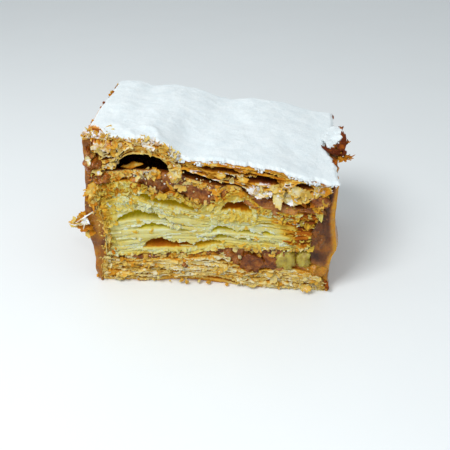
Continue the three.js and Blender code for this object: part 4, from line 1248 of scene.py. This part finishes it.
upper_filling = caramel_sheet(middle_top, upper_caramel_top, 71, upper_thin, upper_dust_and_glints, upper_crumbs)
piece("upper_caramel_filling", upper_filling, "caramel", "upper_caramel")
lower_filling = caramel_sheet(bottom_top, middle_underside, 70, lower_thin, little_dust, lower_crumbs)
piece("lower_caramel_filling", lower_filling, "caramel", "lower_caramel")


# ---- Caramel down both ends ----
def end_coat(side, inner, outer, seed, thin):
    """A coat on one end: rows from the base to the sugar, each a loop round the coat seen from above. Its
    faces have slow swells and a soft pitting, and run down in drips on the outside. thin is a function of the
    place."""
    z_share = np.linspace(0, 1, 170)[:, None]
    across = np.linspace(0, 1, 60)[None]
    edge_share = np.linspace(0, 1, 26)[1:-1][None]

    def height(y):
        return between(0.25, top_top(side * LENGTH / 2, y) + 0.1, z_share)

    def relief(y, z):
        swell = 0.8 * (noise(y / 11, z / 12, seed) + 0.5 * noise(y / 5, z / 9, seed + 1))
        drips = 0.5 * crests(y / 6, z / 22, seed + 2)
        return swell + drips + 0.2 * layered(y / 2.4, z / 3.4, seed + 3)

    def cut(z, shift):
        return DEPTH / 2 - 0.15 - 0.5 * noise(z / 5, shift, seed + 7) - 0.25 * noise(z / 1.9, shift, seed + 8)

    def grid(y, faces_out):
        z = height(y)
        x = outer(z) if faces_out else inner(z) - 0.35 * side
        ends = smooth((DEPTH / 2 - np.abs(y)) / 5)
        return points(x + side * relief(y, z) * (0.35 + 0.65 * ends) * faces_out, y, z)

    def rows(faces_out):
        nominal = height(np.zeros((1, 1)))
        return grid(between(-cut(nominal, 0), cut(nominal, 9), across), faces_out)

    inside, outside = rows(False), rows(True)

    def edge(first, second, shift):
        path = between(first[:, None], second[:, None], edge_share[..., None])
        away = -1 if shift == 0 else 1
        px, pz = path[..., 0], path[..., 2]
        lobes = 0.55 * np.sin(np.pi * edge_share) ** 0.7 + 0.4 * noise(px / 2.6, pz / 4.2 + shift, seed + 9)
        path[..., 1] += away * (lobes + 0.18 * layered(px / 0.9, pz / 1.3 + shift, seed + 10))
        return path

    back = edge(inside[:, -1], outside[:, -1], 1)
    front = edge(outside[:, 0], inside[:, 0], 0)
    loop = (inside, back, outside[:, ::-1], front)
    shown = thin(*np.concatenate(loop, axis=1).transpose(2, 0, 1))
    return carried_loop(*loop, thin=shown, dust=np.full(shown.shape, -0.2))


def left_thin(x, y, z):
    """The left coat: dull brown low down, more orange in the middle, mottled above."""
    cuts = bump(DEPTH / 2 - np.abs(y), 0, 5)
    bands = 0.2 * noise(x / 1.6, z / 2.4, 96) * (z > 30) + 0.15 * bump(z, 7, 7) - 0.2 * bump(z, 17, 2)
    return 0.22 + 0.16 * noise(y / 7, z / 9, 95) + bands * cuts - 0.1 * smooth((z - 30) / 4)


def right_thin(x, y, z):
    """The right coat: amber at its outer edge, orange low down, and nearly black in a patch below the
    middle."""
    cuts = bump(DEPTH / 2 - np.abs(y), 0, 4)
    outer_edge = smooth((x - right_outer(z) + 2.4) / 1.8) * between(0.3, 1, cuts)
    dark = 0.3 * smooth((z - 20) / 4) + 0.5 * bump(z, 16.5, 2.2) * bump(x, 38.8, 3.2)
    mottle = 0.1 * noise(x / 3, z / 4, 97) * cuts + 0.16 * noise(y / 7, z / 9, 98) * (1 - cuts)
    bands = (0.45 * bump(z, 8.5, 3.8) - dark) * (1 - outer_edge) * between(0.2, 1, cuts)
    return mottle + 0.62 * outer_edge + bands


piece("left_caramel_smear", end_coat(-1, left_inner, left_outer, 90, left_thin), "caramel_coat",
      "left_caramel_coat")
piece("right_caramel_smear", end_coat(1, right_inner, right_outer, 91, right_thin), "caramel_coat",
      "right_caramel_coat")

# ---- Icing sugar ----
SCRAP_Y, SCRAP_HALF, SCRAP_REACH = -1.5, 8.0, 4.5


def sugar_sheet():
    """The icing sugar: a thin closed sheet that follows the pastry. Its top carries a ring over the pocket,
    dents, soft drifts and a powdery relief, and it thins out to a ragged edge."""
    u, v = np.linspace(0, 1, 230)[:, None], np.linspace(0, 1, 150)[None]
    nominal = (u - 0.5) * LENGTH
    fringe = 0.9 * noise(nominal / 3, 0, 82) + 0.8 * noise(nominal / 1.3, 3, 84)
    fringe = fringe + 0.2 * noise(nominal / 0.6, 5, 85)
    near = FRONT + 0.6 + fringe + 7 * bump(nominal, -44, 5) + 2.6 * bump(nominal, -20, 2.5)
    rear = BACK - 0.3 - 0.6 * noise(nominal / 3, 19, 82) - 0.35 * noise(nominal / 0.9, 9, 86)
    y = between(near, rear, v)
    bay = SCRAP_REACH * bump(y, SCRAP_Y, SCRAP_HALF)
    left = -LENGTH / 2 - 0.7 + 0.5 * noise(y / 6, 3, 80) + 0.3 * noise(y / 1.2, 7, 87)
    right = LENGTH / 2 - 0.2 + 0.5 * noise(y / 6, 8, 81) + 0.3 * noise(y / 1.2, 11, 88) - bay
    x = between(left, right, u)
    from_edge = np.minimum.reduce([y - near, rear - y, x - left, right - x])
    inside = smooth(from_edge / 4)
    ring = 0.7 * bump(np.hypot(x + 25, y + 23.5) - 5, 0, 1.6)
    dents = 0.8 * bump(x, 9, 4) * bump(y, 4, 4) + 0.5 * bump(x, -40, 3) * bump(y, -8, 4)
    p, q = 0.8 * x + 0.6 * y, 0.8 * y - 0.6 * x
    drifts = 0.16 * (noise(x / 6, y / 5, 83) + noise(p / 5, q / 6, 93)) + 0.1 * noise(q / 2.6, p / 2.6, 89)
    powder = 0.05 * (noise(x / 1.3, y / 1.2, 92) + noise(p / 0.9, q / 0.8, 94))
    thick = SUGAR * (0.22 + 0.78 * smooth(from_edge / 1.3)) + (ring - dents + drifts) * inside + powder
    base = top_top(x, y) + 0.12
    under, over = points(x, y, base), points(x, y, base + np.maximum(thick, 0.12))
    rise = np.array([0.35, 0.75])[None, :, None]
    front = between(over[:, :1], under[:, :1], rise)
    back = between(under[:, -1:], over[:, -1:], rise)
    loop = (under, back, over[:, ::-1], front)
    where = np.concatenate(loop, axis=1)
    edge = np.concatenate([from_edge, np.zeros((len(u), 2)), from_edge[:, ::-1], np.zeros((len(u), 2))],
                          axis=1)
    corner = bump(where[..., 0], -42, 6) * bump(where[..., 1], -22, 5)
    front_left = smooth((-8 - where[..., 0]) / 6) * (where[..., 1] < 0)
    bare = 0.46 * np.exp(-edge / 0.8) + 0.5 * corner * np.exp(-edge / 2.5)
    return carried_loop(*loop, bare=bare + 0.34 * front_left * np.exp(-edge / 1.3))


piece("icing_sugar_dusting", sugar_sheet(), "icing_sugar", "icing_sugar")


# ---- Lumps and smears ----
def lump(at, size, seed, square=0.72, ribs=0.06, rough=0.06, turn=(0, 0, 0), **values):
    """A lump between a ball and a block: a sphere in polar form, pushed out towards its cube by the share
    square, with ribs along Z and a rough skin."""
    polar, angle = np.linspace(0, np.pi, 26)[1:-1, None], np.linspace(0, 2 * np.pi, 41)[None, :-1]
    ball = points(np.sin(polar) * np.cos(angle), np.sin(polar) * np.sin(angle), np.cos(polar) + 0 * angle)
    block = 1 / np.abs(ball).max(-1, keepdims=True)
    ribbed = ribs * layered(6 * ball[..., 0], 6 * ball[..., 1] + ball[..., 2], seed)
    pits = layered(3 * ball[..., 0], 3 * ball[..., 2], seed + 1) + noise(3 * ball[..., 1], 0, seed + 2)
    skin = ball * between(1, block, square) * 0.9 * (1 + ribbed + rough * pits)[..., None]
    ends = [[[0, 0, skin[row, :, 2].mean()]] for row in (0, -1)]
    body = np.concatenate([ends[0], skin.reshape(-1, 3), ends[1]]) * np.array(size) / 2
    return placed(body, turn, at, ball_faces(*skin.shape[:2]), values)


def smears(*rows):
    """A smear for each row: its x, z, width, height, thickness and seed, how far it leans in degrees, how
    wavy and lumpy it is, and then how thin it looks."""
    return [smear(*place, thin=thin, dust=0) for place, thin in rows]


piece("pale_piece_left", lump((27.3, -28.7, 13.2), (8.4, 5.4, 9), 2, 0.25, 0.02, 0.2), "glazed_piece",
      "pale_piece_1")
piece("pale_piece_right", lump((33.7, -28.6, 14), (6.8, 5, 8), 9, 0.28, 0.02, 0.2), "glazed_piece",
      "pale_piece_2")
upper_smears = smears(
    ((-43.6, 55.4, 3.6, 6, 3, 300, 10, 0.4), 0.0), ((-42.6, 50.4, 7.8, 6, 3.2, 303, 20, 0.4), 0.05),
    ((-41, 46, 10, 5, 3.2, 301, 8, 0.4), 0.1), ((-27.8, 45.2, 4.2, 2.2, 1.6, 302, 0, 0.3), 0.7),
    ((19.3, 36.9, 17, 6.6, 1.6, 308, -18, 0.25, 0.15), 0.2),
    ((27.5, 34.8, 9, 3.4, 1.5, 309, -8, 0.25, 0.2), 0.6), ((35.5, 35.4, 7, 3, 1.2, 310), 0.1))
upper_lumps = [lump((38.8, -29.3, 39.3), (7, 4, 5.6), 320, 0.3, 0, 0.16, thin=0.02)]
piece("upper_caramel_smears", joined(upper_smears + upper_lumps), "caramel", "upper_caramel")
lower_smears = smears(
    ((-27.5, 12, 12, 2.2, 1.1, 330), -0.1), ((-3.5, 15.4, 9, 2, 1.1, 331, 14), 0.1),
    ((7, 13.4, 10, 4, 1.4, 332, -38), 0.1), ((13, 7.3, 6, 2.2, 1.3, 333, -25), 0.6),
    ((24, 9.4, 9, 2, 1.2, 334), 0.35), ((-11.2, 9.2, 3, 3.6, 1.6, 335), 0.0))
lower_lumps = [
    lump((14.3, -28.5, 11.6), (7.6, 4.4, 8), 340, 0.85, 0, 0.14, (0, 14, 0), thin=-0.16),
    lump((21, -28.5, 12), (7.2, 4.4, 6.4), 341, 0.85, 0, 0.14, (0, 4, 0), thin=-0.16)]
piece("lower_caramel_smears", joined(lower_smears + lower_lumps), "caramel", "lower_caramel")
right_smears = smears(
    ((39.2, 24, 6.4, 10, 1.6, 350), -0.08), ((39, 16.8, 6.4, 4.4, 1.0, 351), -0.5),
    ((39.8, 9.4, 8.4, 5.6, 1.9, 352), 0.48), ((40.2, 32, 4.4, 7, 1.3, 353), 0.1))
piece("right_caramel_patches", joined(right_smears), "caramel_coat", "right_caramel_coat")


# ---- Crumbs and small flakes that stand clear of the cuts ----
CELL, MAP_LEFT, MAP_CELLS, BARE_CELL = 0.5, -50, (200, 130), 9.0


def cell_of(x, z):
    """The column and row of a cut's map that a place lies in."""
    return ((x - MAP_LEFT) / CELL).astype(int), (z / CELL).astype(int)


def depth_map(side):
    """A map of the cut in cells of CELL mm: how far in its outermost face is at each place."""
    cells = np.full(MAP_CELLS, BARE_CELL)
    for face in cut_faces[side]:
        i, j = cell_of(face.x, face.z)
        np.minimum.at(cells, (i.ravel(), j.ravel()), face.d.ravel())
    return cells


depth_maps = {side: depth_map(side) for side in cut_faces}


def loose(count, seed, corners, density, size, baked, dust=0.2, side="front", ball=0.25):
    """Small flakes that stick out of a cut at all angles, and the share ball of crumbs half sunk in it. They
    are scattered between two corners, and left out where the cut is more than 0.8 mm in."""
    draw = default_rng(seed)
    x, z = scattered(draw, count, corners, density)
    d = depth_maps[side][cell_of(x, z)]
    x, z, d = x[d < 0.8], z[d < 0.8], np.maximum(d[d < 0.8], -1.2)
    n = len(x)
    y = FRONT + d if side == "front" else BACK - 0.25 - d
    tone = patchy(baked, draw, x, z, seed, 0.3)
    white, round_ = draw.uniform(-0.1, dust, n), draw.uniform(0, 1, n) < ball
    at, wide = points(x, y, z), draw.uniform(*size, (n, 1)) * draw.uniform(0.55, 1.15, (n, 3))
    tilt = points(draw.uniform(-30, 100, n), draw.uniform(-30, 30, n), draw.uniform(-60, 60, n))
    flat = ~round_
    return joined([
        crumbs(at[round_], 0.6 * wide[round_], seed + 1, baked=tone[round_], dust=white[round_]),
        flakes(at[flat], wide[flat][:, :2], tilt[flat], seed + 2, baked=tone[flat], dust=white[flat])])


def over_slice(x, z):
    """The same chance all over the cut."""
    return (z < top_top(x, FRONT) - 0.3) * 1.0


def near_top_underside(x, z):
    """Along the lower edge of the top sheet, right of the pocket."""
    return bump(z, top_underside(x, FRONT) + 0.6, 1.3) * (x > -15)


def near_lower_caramel(x, z):
    """Along both edges of the lower caramel."""
    return np.maximum(bump(z, bottom_top(x, FRONT) + 0.3, 1.0),
                      0.8 * bump(z, middle_underside(x, FRONT), 0.9))


# Rows of loose flakes and crumbs: how many, seed, corners, density, sizes, browning and dust.
strewings = {
    "top_sheet_crumbs": ("crisp_pastry", "top_pastry", [
        loose(110, 400, TOP, off_the_rim, (1.8, 4.2), (0.0, 0.62), 0.4),
        loose(45, 404, ((-15, 36), (44, 52)), near_top_underside, (1.2, 3.4), (0.1, 0.75), 0.35),
        loose(24, 406, ((-15, 44), (44, 56)), over_slice, (1.4, 4), (0.1, 0.8), 0.4, ball=0.1)]),
    "middle_sheet_crumbs": ("pale_pastry", "middle_pastry", [
        loose(260, 408, ((-27, 32), (3, 45)), along(middle_top, 0.1, 0.8), (1.2, 3.6), (0.1, 0.56), 0.15),
        loose(520, 410, ((-46, 31), (43, 47)), lambda x, z: 0.5 * near_middle_top(x, z), (1.2, 3.2),
              (0.1, 0.65), 0.1),
        loose(80, 414, ((-46, 13), (-34, 44)), left_end, (1.2, 3.2), (0.1, 0.7), 0.0),
        loose(90, 416, ((22, 17), (38, 35)), right_end, (1.0, 3), (0.25, 0.8), 0.0, ball=0.3)]),
    "bottom_sheet_crumbs": ("crisp_pastry", "bottom_pastry", [
        loose(200, 430, ((-45, 5), (43, 19)), near_lower_caramel, (1.1, 3.4), (0.0, 0.6), 0.2),
        loose(240, 432, ((-44, 7), (8, 15)), along(bottom_top, 0.1, 0.8), (0.9, 2.8), (0.05, 0.6), 0.2),
        loose(110, 436, ((-44, 2.4), (43, 9)), over_slice, (1.2, 3.4), (-0.1, 0.5), 0.2, ball=0.2),
        loose(110, 442, ((-44, 1.3), (43, 1.9)), over_slice, (0.8, 2.2), (-0.1, 0.4), 0.6, ball=0.2),
        loose(90, 438, ((12, 13.5), (38, 19)), over_slice, (1.0, 2.8), (0.0, 0.5), 0.2)]),
    "back_cut_crumbs": ("pale_pastry", "middle_pastry", [
        loose(700, 440, ((-45, 1.2), (43, 58)), lambda x, z: 0.5 * (z < top_top(x, BACK) - 0.5), (1.2, 3.4),
              (0.0, 0.9), 0.4, side="back")])}
for name, (slot, node, parts) in strewings.items():
    piece(name, joined(parts), slot, node)

# ---- Large torn leaves ----
ROUND = [[0, 1], [90, 1], [180, 1], [270, 1]]
STRIP = [[0, 1], [60, 0.9], [120, 1.05], [180, 1.1], [240, 0.85], [300, 1]]
KITE = [[0, 1.15], [50, 0.75], [90, 0.9], [180, 0.75], [250, 0.6], [290, 1.25]]
POINTED = [[0, 0.8], [60, 1.0], [120, 0.95], [180, 0.8], [240, 0.85], [280, 1.35], [320, 0.8]]
RAGGED = [[0, 1.1], [40, 0.8], [80, 1.05], [130, 0.85], [180, 1.1], [220, 0.8], [260, 1.1], [310, 0.75]]
SHARD = [[0, 1.25], [35, 0.85], [75, 0.9], [120, 1.0], [165, 0.85], [200, 1.15], [235, 0.7], [265, 1.05],
         [300, 0.65]]


def sprinkled(draw, at, size, turn, seed, **ends):
    """Flakes at the places of at, or crumbs if turn is None: their sizes, angles and values are drawn between
    the given ends."""
    count = len(at)
    sizes = draw.uniform(*size, (count, 3 if turn is None else 2))
    turns = () if turn is None else (draw.uniform(*turn, (count, 3)),)
    make = crumbs if turn is None else flakes
    return make(at, sizes, *turns, seed, **{name: draw.uniform(*pair, count) for name, pair in ends.items()})


def heap(x, z, wide, high, count, seed, size, baked, dust):
    """A pile of small flakes on the front cut, thickest at its middle."""
    draw = default_rng(seed)
    at = points(draw.normal(x, 0.28 * wide, count), FRONT - draw.uniform(-0.2, 1.1, count),
                draw.normal(z, 0.28 * high, count))
    turn = draw.uniform((40, -25, -40), (95, 25, 40), (count, 3))
    return flakes(at, draw.uniform(*size, (count, 2)), turn, seed + 1, rim=11, bend=0.12,
                  baked=draw.uniform(*baked, count), dust=draw.uniform(*dust, count))


# Rows of torn leaves: middle, length and width, angles, outline, seed, browning, dust, arches, ripple,
# thickness and how torn.
# Rows of heaps: x, z, width, height, how many, seed, sizes, browning and dust.
top_scraps = [
    # the pocket's floor: a long pale flake, a kite and the flap beside the arch
    torn_leaf((-29.2, -27.4, 49.7), (7, 3), (16, -6, 4), RAGGED, 500, 0.4, -0.2, (0, 0.2), 0.15, 0.25, 0.1),
    torn_leaf((-20.9, -29.2, 48.1), (5, 4.4), (68, -8, 0), KITE, 501, 0.35, 0.0, (0.3, 0.2)),
    torn_leaf((-23.8, -28.4, 47.7), (2.6, 3.4), (60, 0, 10), POINTED, 502, 0.1, 0.3, (0.3, 0.2)),
    torn_leaf((-13.6, -29.9, 48.6), (5.2, 5.4), (66, -12, 6), RAGGED, 503, 0.12, 0.4, (0.4, -0.3)),
    # the hanging flake, the dusted flake and the lump at the right
    torn_leaf((23.4, -31.1, 40.6), (4.6, 5), (84, 0, 0), POINTED, 504, -0.1, 0.3, (0.2, 0.2), 0.2, 0.4, 0.14),
    torn_leaf((22.4, -30.6, 43.9), (6, 3), (50, 8, -6), SHARD, 505, 0.15, 0.2, (0.2, 0.3)),
    torn_leaf((17, -30.2, 42.6), (9, 5), (40, 16, 4), SHARD, 506, 0.15, 0.7, (0.3, 0.4)),
    torn_leaf((29.8, -30.4, 43), (7.6, 4), (46, 12, 4), SHARD, 507, 0.0, 0.3, (0.4, 0.4)),
    torn_leaf((32.2, -30.2, 40.4), (4.6, 3.6), (60, -30, 0), KITE, 553, 0.15, 0.2, (0.3, 0.3)),
    torn_leaf((28.3, -30.5, 39.4), (5, 3.2), (60, 20, -4), RAGGED, 508, 0.1, 0.65, (0.3, 0.2)),
    torn_leaf((39.2, -29.6, 43.7), (5.6, 3.6), (50, 10, 0), SHARD, 509, 0.2, 0.5, (0.3, 0.3)),
    heap(30, 41.2, 7.6, 3.8, 12, 570, (2, 5), (-0.1, 0.5), (-0.3, 0.6)),
    heap(16.8, 42.4, 6.5, 2.4, 9, 572, (1.8, 4.4), (0.0, 0.4), (0.2, 0.8)),
    heap(22.4, 44, 4.5, 2.4, 6, 574, (1.6, 3.8), (0.0, 0.4), (-0.2, 0.5)),
    heap(38.8, 43.4, 6, 3, 13, 576, (1.6, 4), (0.0, 0.7), (0.0, 0.8)),
    heap(38, 38.8, 5, 4, 8, 578, (1.4, 3.4), (0.3, 0.9), (-0.2, 0.5)),
    heap(-13.8, 48.8, 4, 3.6, 5, 580, (1.4, 3.8), (0.0, 0.5), (0.0, 0.6)),
    heap(-21, 48, 4, 3, 4, 582, (1.2, 3), (0.1, 0.6), (0.0, 0.6)),
    torn_leaf((2.8, -30.1, 48.7), (3, 2.6), (70, 0, 0), ROUND, 510, 0.3, 0.1, (0.4, 0.4), 0.1),
    torn_leaf((10.4, -30, 47.5), (3.8, 2.4), (64, 10, 0), ROUND, 511, 0.3, 0.1, (0.4, 0.4), 0.1),
    torn_leaf((1, -30.6, 52.7), (9, 1.3), (28, 5, 0), RAGGED, 512, 0.35, -0.1, (0.2, 0.3), 0.2, 0.2),
    torn_leaf((6, -30.3, 52.1), (7, 1.1), (30, 8, 0), SHARD, 512, 0.5, -0.1, (0.1, 0.2), 0.15, 0.2),
    torn_leaf((17, -30.3, 49.6), (8, 1.2), (24, 10, 0), SHARD, 513, 0.5, -0.1, (0.3, 0.3), 0.15, 0.2),
    torn_leaf((23.4, -30.4, 48.3), (7, 1), (26, 10, 0), RAGGED, 513, 0.6, -0.1, (0.2, 0.3), 0.15, 0.2),
    torn_leaf((-43.9, -31.3, 53.6), (2.2, 3), (80, 0, 0), KITE, 514, -0.1, 0.5, (0.2, 0.2)),
    torn_leaf((-40.6, -31.7, 48.6), (2.8, 2.4), (75, 10, 0), RAGGED, 515, 0.1, 0.4, (0.3, 0.2))]
spilt = default_rng(590)
spilt_x, spilt_y = 43 - 80 * spilt.uniform(0, 1, 26) ** 1.6, FRONT + spilt.uniform(-0.5, 0.4, 26)
spilt_size = spilt.uniform(0.5, 1.7, (26, 3))
edge_draw = default_rng(594)
edge_x = edge_draw.uniform(-45, -11, 150)
edge_y = FRONT + edge_draw.uniform(-0.3, 2.8, 150)
top_scraps.append(sprinkled(
    edge_draw, points(edge_x, edge_y, top_top(edge_x, edge_y) + 0.2), (1, 3.4),
    ((-30, -30, -90), (50, 30, 90)),
    595, baked=(0.05, 0.58), dust=(0, 0.9)))
# Pale, white-dusted flakes strewn over the upper caramel: painted glints.
glint_x = edge_draw.uniform(-32, 2, 40)
glint_z = between(middle_top(glint_x, FRONT), top_underside(glint_x, FRONT), edge_draw.uniform(0.2, 0.95, 40))
top_scraps.append(sprinkled(
    edge_draw, points(glint_x, FRONT - 0.2, glint_z), (0.2, 0.9), ((50, -30, -60), (100, 30, 60)), 596,
    baked=(-0.1, 0.2), dust=(0, 0.7)))
corner = default_rng(516)
corner_at = points(corner.uniform(-46, -37, 50), corner.uniform(-30, -22, 50), corner.normal(60.9, 0.2, 50))
top_scraps.append(sprinkled(corner, corner_at, (0.6, 1.7), None, 517, baked=(0.15, 0.6), dust=(0, 0.5)))
corner_at = points(corner.uniform(-44.5, -37, 44), corner.uniform(-29, -22.5, 44),
                   corner.normal(61.1, 0.15, 44))
top_scraps.append(sprinkled(corner, corner_at, (1.2, 3.6), (-14, 14), 518, baked=(0.1, 0.6), dust=(0, 0.5)))
top_scraps.append(lump((-42, -24.2, 61.3), (4.4, 3.4, 1.8), 519, 0.2, 0, 0.1, baked=0.95))
end_at = points(corner.normal(-45.4, 0.35, 34), corner.uniform(-20, 29, 34), corner.uniform(59.5, 61.6, 34))
top_scraps.append(sprinkled(corner, end_at, (0.5, 1.6), None, 528, baked=(0.3, 1.2)))
piece("top_sheet_torn_leaves", joined(top_scraps), "crisp_pastry", "top_pastry")
left_scraps = [
    torn_leaf((-44.2, -29.8, 40.8), (7.2, 3.8), (70, -48, 0), ROUND, 520, 0.22, 0.1, (0.8, 0.6), 0.2, 0.9),
    torn_leaf((-44.6, -29.6, 36), (4, 6), (80, 0, 14), RAGGED, 521, 0.5, 0.15, (0.5, 0.5)),
    torn_leaf((-50, -28.5, 25.8), (9, 3.6), (20, -12, 8), RAGGED, 522, 0.15, -0.1, (0.6, 0.5)),
    torn_leaf((-49.4, -28, 27.6), (5, 4.4), (70, -20, 12), RAGGED, 523, 0.45, -0.2, (0.6, 0.5)),
    torn_leaf((-48.6, -28.8, 23.4), (5.4, 3.6), (60, -8, 0), RAGGED, 524, 0.5, 0.1, (0.5, 0.4)),
    torn_leaf((-48.2, -30.2, 27.4), (2.4, 4.6), (84, 14, 0), SHARD, 525, -0.2, 0.9, (0.3, 0.3), 0.2, 0.4),
    torn_leaf((-47.4, -31, 29.9), (8.2, 0.55), (75, -35, 0), ROUND, 526, -0.2, 0.8, (0.2, 0), 0.05, 0.4)]
coat_draw = default_rng(560)
coat_z = coat_draw.uniform(1, 52, 110)
coat_z = coat_z + 8 * (coat_z > 42)
coat_power = between(2, 1, smooth((coat_z - 28) / 6))
coat_x = left_inner(coat_z) + 0.6 - 2.8 * coat_draw.uniform(0, 1, 110) ** coat_power
left_scraps += [
    sprinkled(coat_draw, points(coat_x, FRONT + 0.2 + coat_draw.normal(0, 0.3, 110), coat_z), (0.4, 1.6),
              None, 561, baked=(0.05, 0.7), dust=(-0.2, 0.45)),
    sprinkled(coat_draw, points(left_inner(coat_z) + 0.4, FRONT + coat_draw.normal(0.1, 0.3, 110), coat_z),
              (1, 3.2), ((60, -20, -60), (100, 20, 60)), 562, baked=(0.05, 0.65)),
    flakes(points(*default_rng(530).normal((-47.6, -27.6, 26.2), (2.2, 1.6, 2.6), (46, 3)).T),
           default_rng(531).uniform(1.2, 3.4, (46, 2)), default_rng(532).uniform(-60, 60, (46, 3)),
           533, baked=default_rng(534).uniform(0.05, 0.75, 46))]
piece("left_torn_cluster", joined(left_scraps), "crisp_pastry", "left_caramel_coat")
bottom_scraps = [
    crumbs(points(spilt_x, spilt_y, 0.62 * spilt_size.max(1) + spilt.uniform(0, 1, 26)), spilt_size, 591,
           baked=spilt.uniform(0, 0.6, 26)),
    torn_leaf((35.2, -31.4, 2.6), (3.8, 3), (70, 10, 0), ROUND, 592, 0.1, 0.2, (0.9, 0.7), 0.2, 0.5),
    torn_leaf((43.4, -30.4, 3.6), (1.4, 5), (80, -14, 0), STRIP, 593, 0.9, -0.2, (0.2, 0.2), 0.1, 0.4),
    torn_leaf((-10.8, -31, 2.8), (0.5, 3), (84, 4, 0), STRIP, 594, 0.15, 0, (0, 0.1), 0.05, 0.3)]
piece("bottom_sheet_scraps", joined(bottom_scraps), "crisp_pastry", "bottom_pastry")
right_scraps = [
    torn_leaf((43, -7.6, 48.6), (8.4, 2.6), (18, -6, -48), STRIP, 540, 1.15, None, (0.4, 0.4), 0.3, 0.7, 0.2),
    torn_leaf((46.9, -3.4, 49.2), (3.2, 13), (8, -12, -8), STRIP, 541, 1.05, None, (0.4, 0.6), 0.35, 0.7,
              0.2),
    torn_leaf((46, -9.2, 48.6), (4.6, 3.4), (24, 0, 10), RAGGED, 542, 1.2, None, (0.6, 0.4), 0.4, 0.8, 0.25),
    torn_leaf((49.2, 0.4, 48.6), (2, 3.4), (10, -20, -10), RAGGED, 543, 0.75, None, (0.3, 0.2)),
    torn_leaf((45.3, 27, 48.4), (1.3, 5.4), (0, -70, 4), STRIP, 544, 0.8, 0.1, (0.2, 0.2)),
    torn_leaf((47.3, 13.8, 48.8), (2.2, 2.4), (20, -30, 20), RAGGED, 545, 0.95, None, (0.3, 0.2)),
    torn_leaf((43.4, -13.2, 47.4), (1.8, 2.6), (50, 0, 0), KITE, 546, 0.85, None, (0.3, 0.2))]
fan = np.radians(np.linspace(-125, 25, 13))
fan_draw = default_rng(547)
fan_reach = fan_draw.uniform(1.6, 3.4, 13)
right_scraps.append(flakes(
    points(46.6 + np.cos(fan) * fan_reach, -9.3 + np.sin(fan) * fan_reach * 0.8, 48.3 - 0.25 * fan_reach),
    points(fan_reach * 1.3, 0.5 + 0.25 * fan_reach, 0)[:, :2],
    points(fan_draw.uniform(-30, 30, 13), fan_draw.uniform(-10, 20, 13), np.degrees(fan)), 548, torn=0.3,
    baked=np.linspace(0.6, 0.95, 13)))
right_at = points(fan_draw.uniform(40.5, 46.5, 34), fan_draw.uniform(-7, 4, 34),
                  fan_draw.uniform(48.9, 49.6, 34))
right_scraps.append(sprinkled(fan_draw, right_at, (0.5, 1.8), (-35, 35), 549, baked=(0.9, 1.3)))
piece("right_torn_curl", joined(right_scraps), "crisp_pastry", "right_caramel_coat")
sugar_flap = torn_leaf((43.4, 4.6, 49.4), (9.6, 18), (-2, -7, -4), RAGGED, 550, None, None, (-0.7, -0.5),
                       0.35, 1.4, 0.12)
dust_draw = default_rng(551)
grain_x = dust_draw.uniform(-34, 44, 420)
grain_x = grain_x[noise(grain_x / 4, 0, 553) > -0.1]
stray = dust_draw.normal(0, 1, (2, len(grain_x)))
grain_z = top_top(grain_x, FRONT) + 0.3 - 0.5 * np.abs(stray[1])
grains_at = points(grain_x, FRONT + 0.1 + 0.5 * stray[0], grain_z)
edge_grains = sprinkled(dust_draw, grains_at, (0.3, 1.1), None, 552)
piece("icing_sugar_scraps", joined([sugar_flap, edge_grains]), "icing_sugar", "icing_sugar")


# ---- Stage ----
def make_stage():
    """A pale floor, a large soft lamp above and to the left, two weaker ones in front, and a bright
    surround."""
    mesh = bpy.data.meshes.new("floor")
    mesh.from_pydata([(-2, -2, 0), (2, -2, 0), (2, 2, 0), (-2, 2, 0)], [], [(0, 1, 2, 3)])
    floor = bpy.data.objects.new("floor", mesh)
    bpy.context.collection.objects.link(floor)
    look = Look("floor", roughness=0.5)
    mesh.materials.append(look.finish(look.mix(look.grain(40), (0.84, 0.88, 0.89), (0.86, 0.9, 0.91))))
    world = bpy.data.worlds.new("surround")
    world.use_nodes = True
    background = world.node_tree.nodes["Background"]
    background.inputs["Color"].default_value = (0.93, 0.97, 1.0, 1)
    background.inputs["Strength"].default_value = 0.52
    bpy.context.scene.world = world
    for name, place, size, power in (
            ("key lamp", (-0.22, -0.3, 0.5), 0.25, 2.5), ("small lamp", (0.1, -0.45, 0.45), 0.04, 0.25),
            ("fill lamp", (0.15, -0.6, 0.25), 0.4, 0.2)):
        lamp = bpy.data.objects.new(name, bpy.data.lights.new(name, "AREA"))
        lamp.data.size, lamp.data.energy = size, power
        away = np.array(place) - np.array([0, 0, 0.03])
        away /= np.linalg.norm(away)
        side = np.cross([0, 0, 1], away)
        side /= np.linalg.norm(side)
        put(lamp, side, np.cross(away, side), away, place)
    bpy.context.scene.view_settings.view_transform = "Standard"


make_stage()
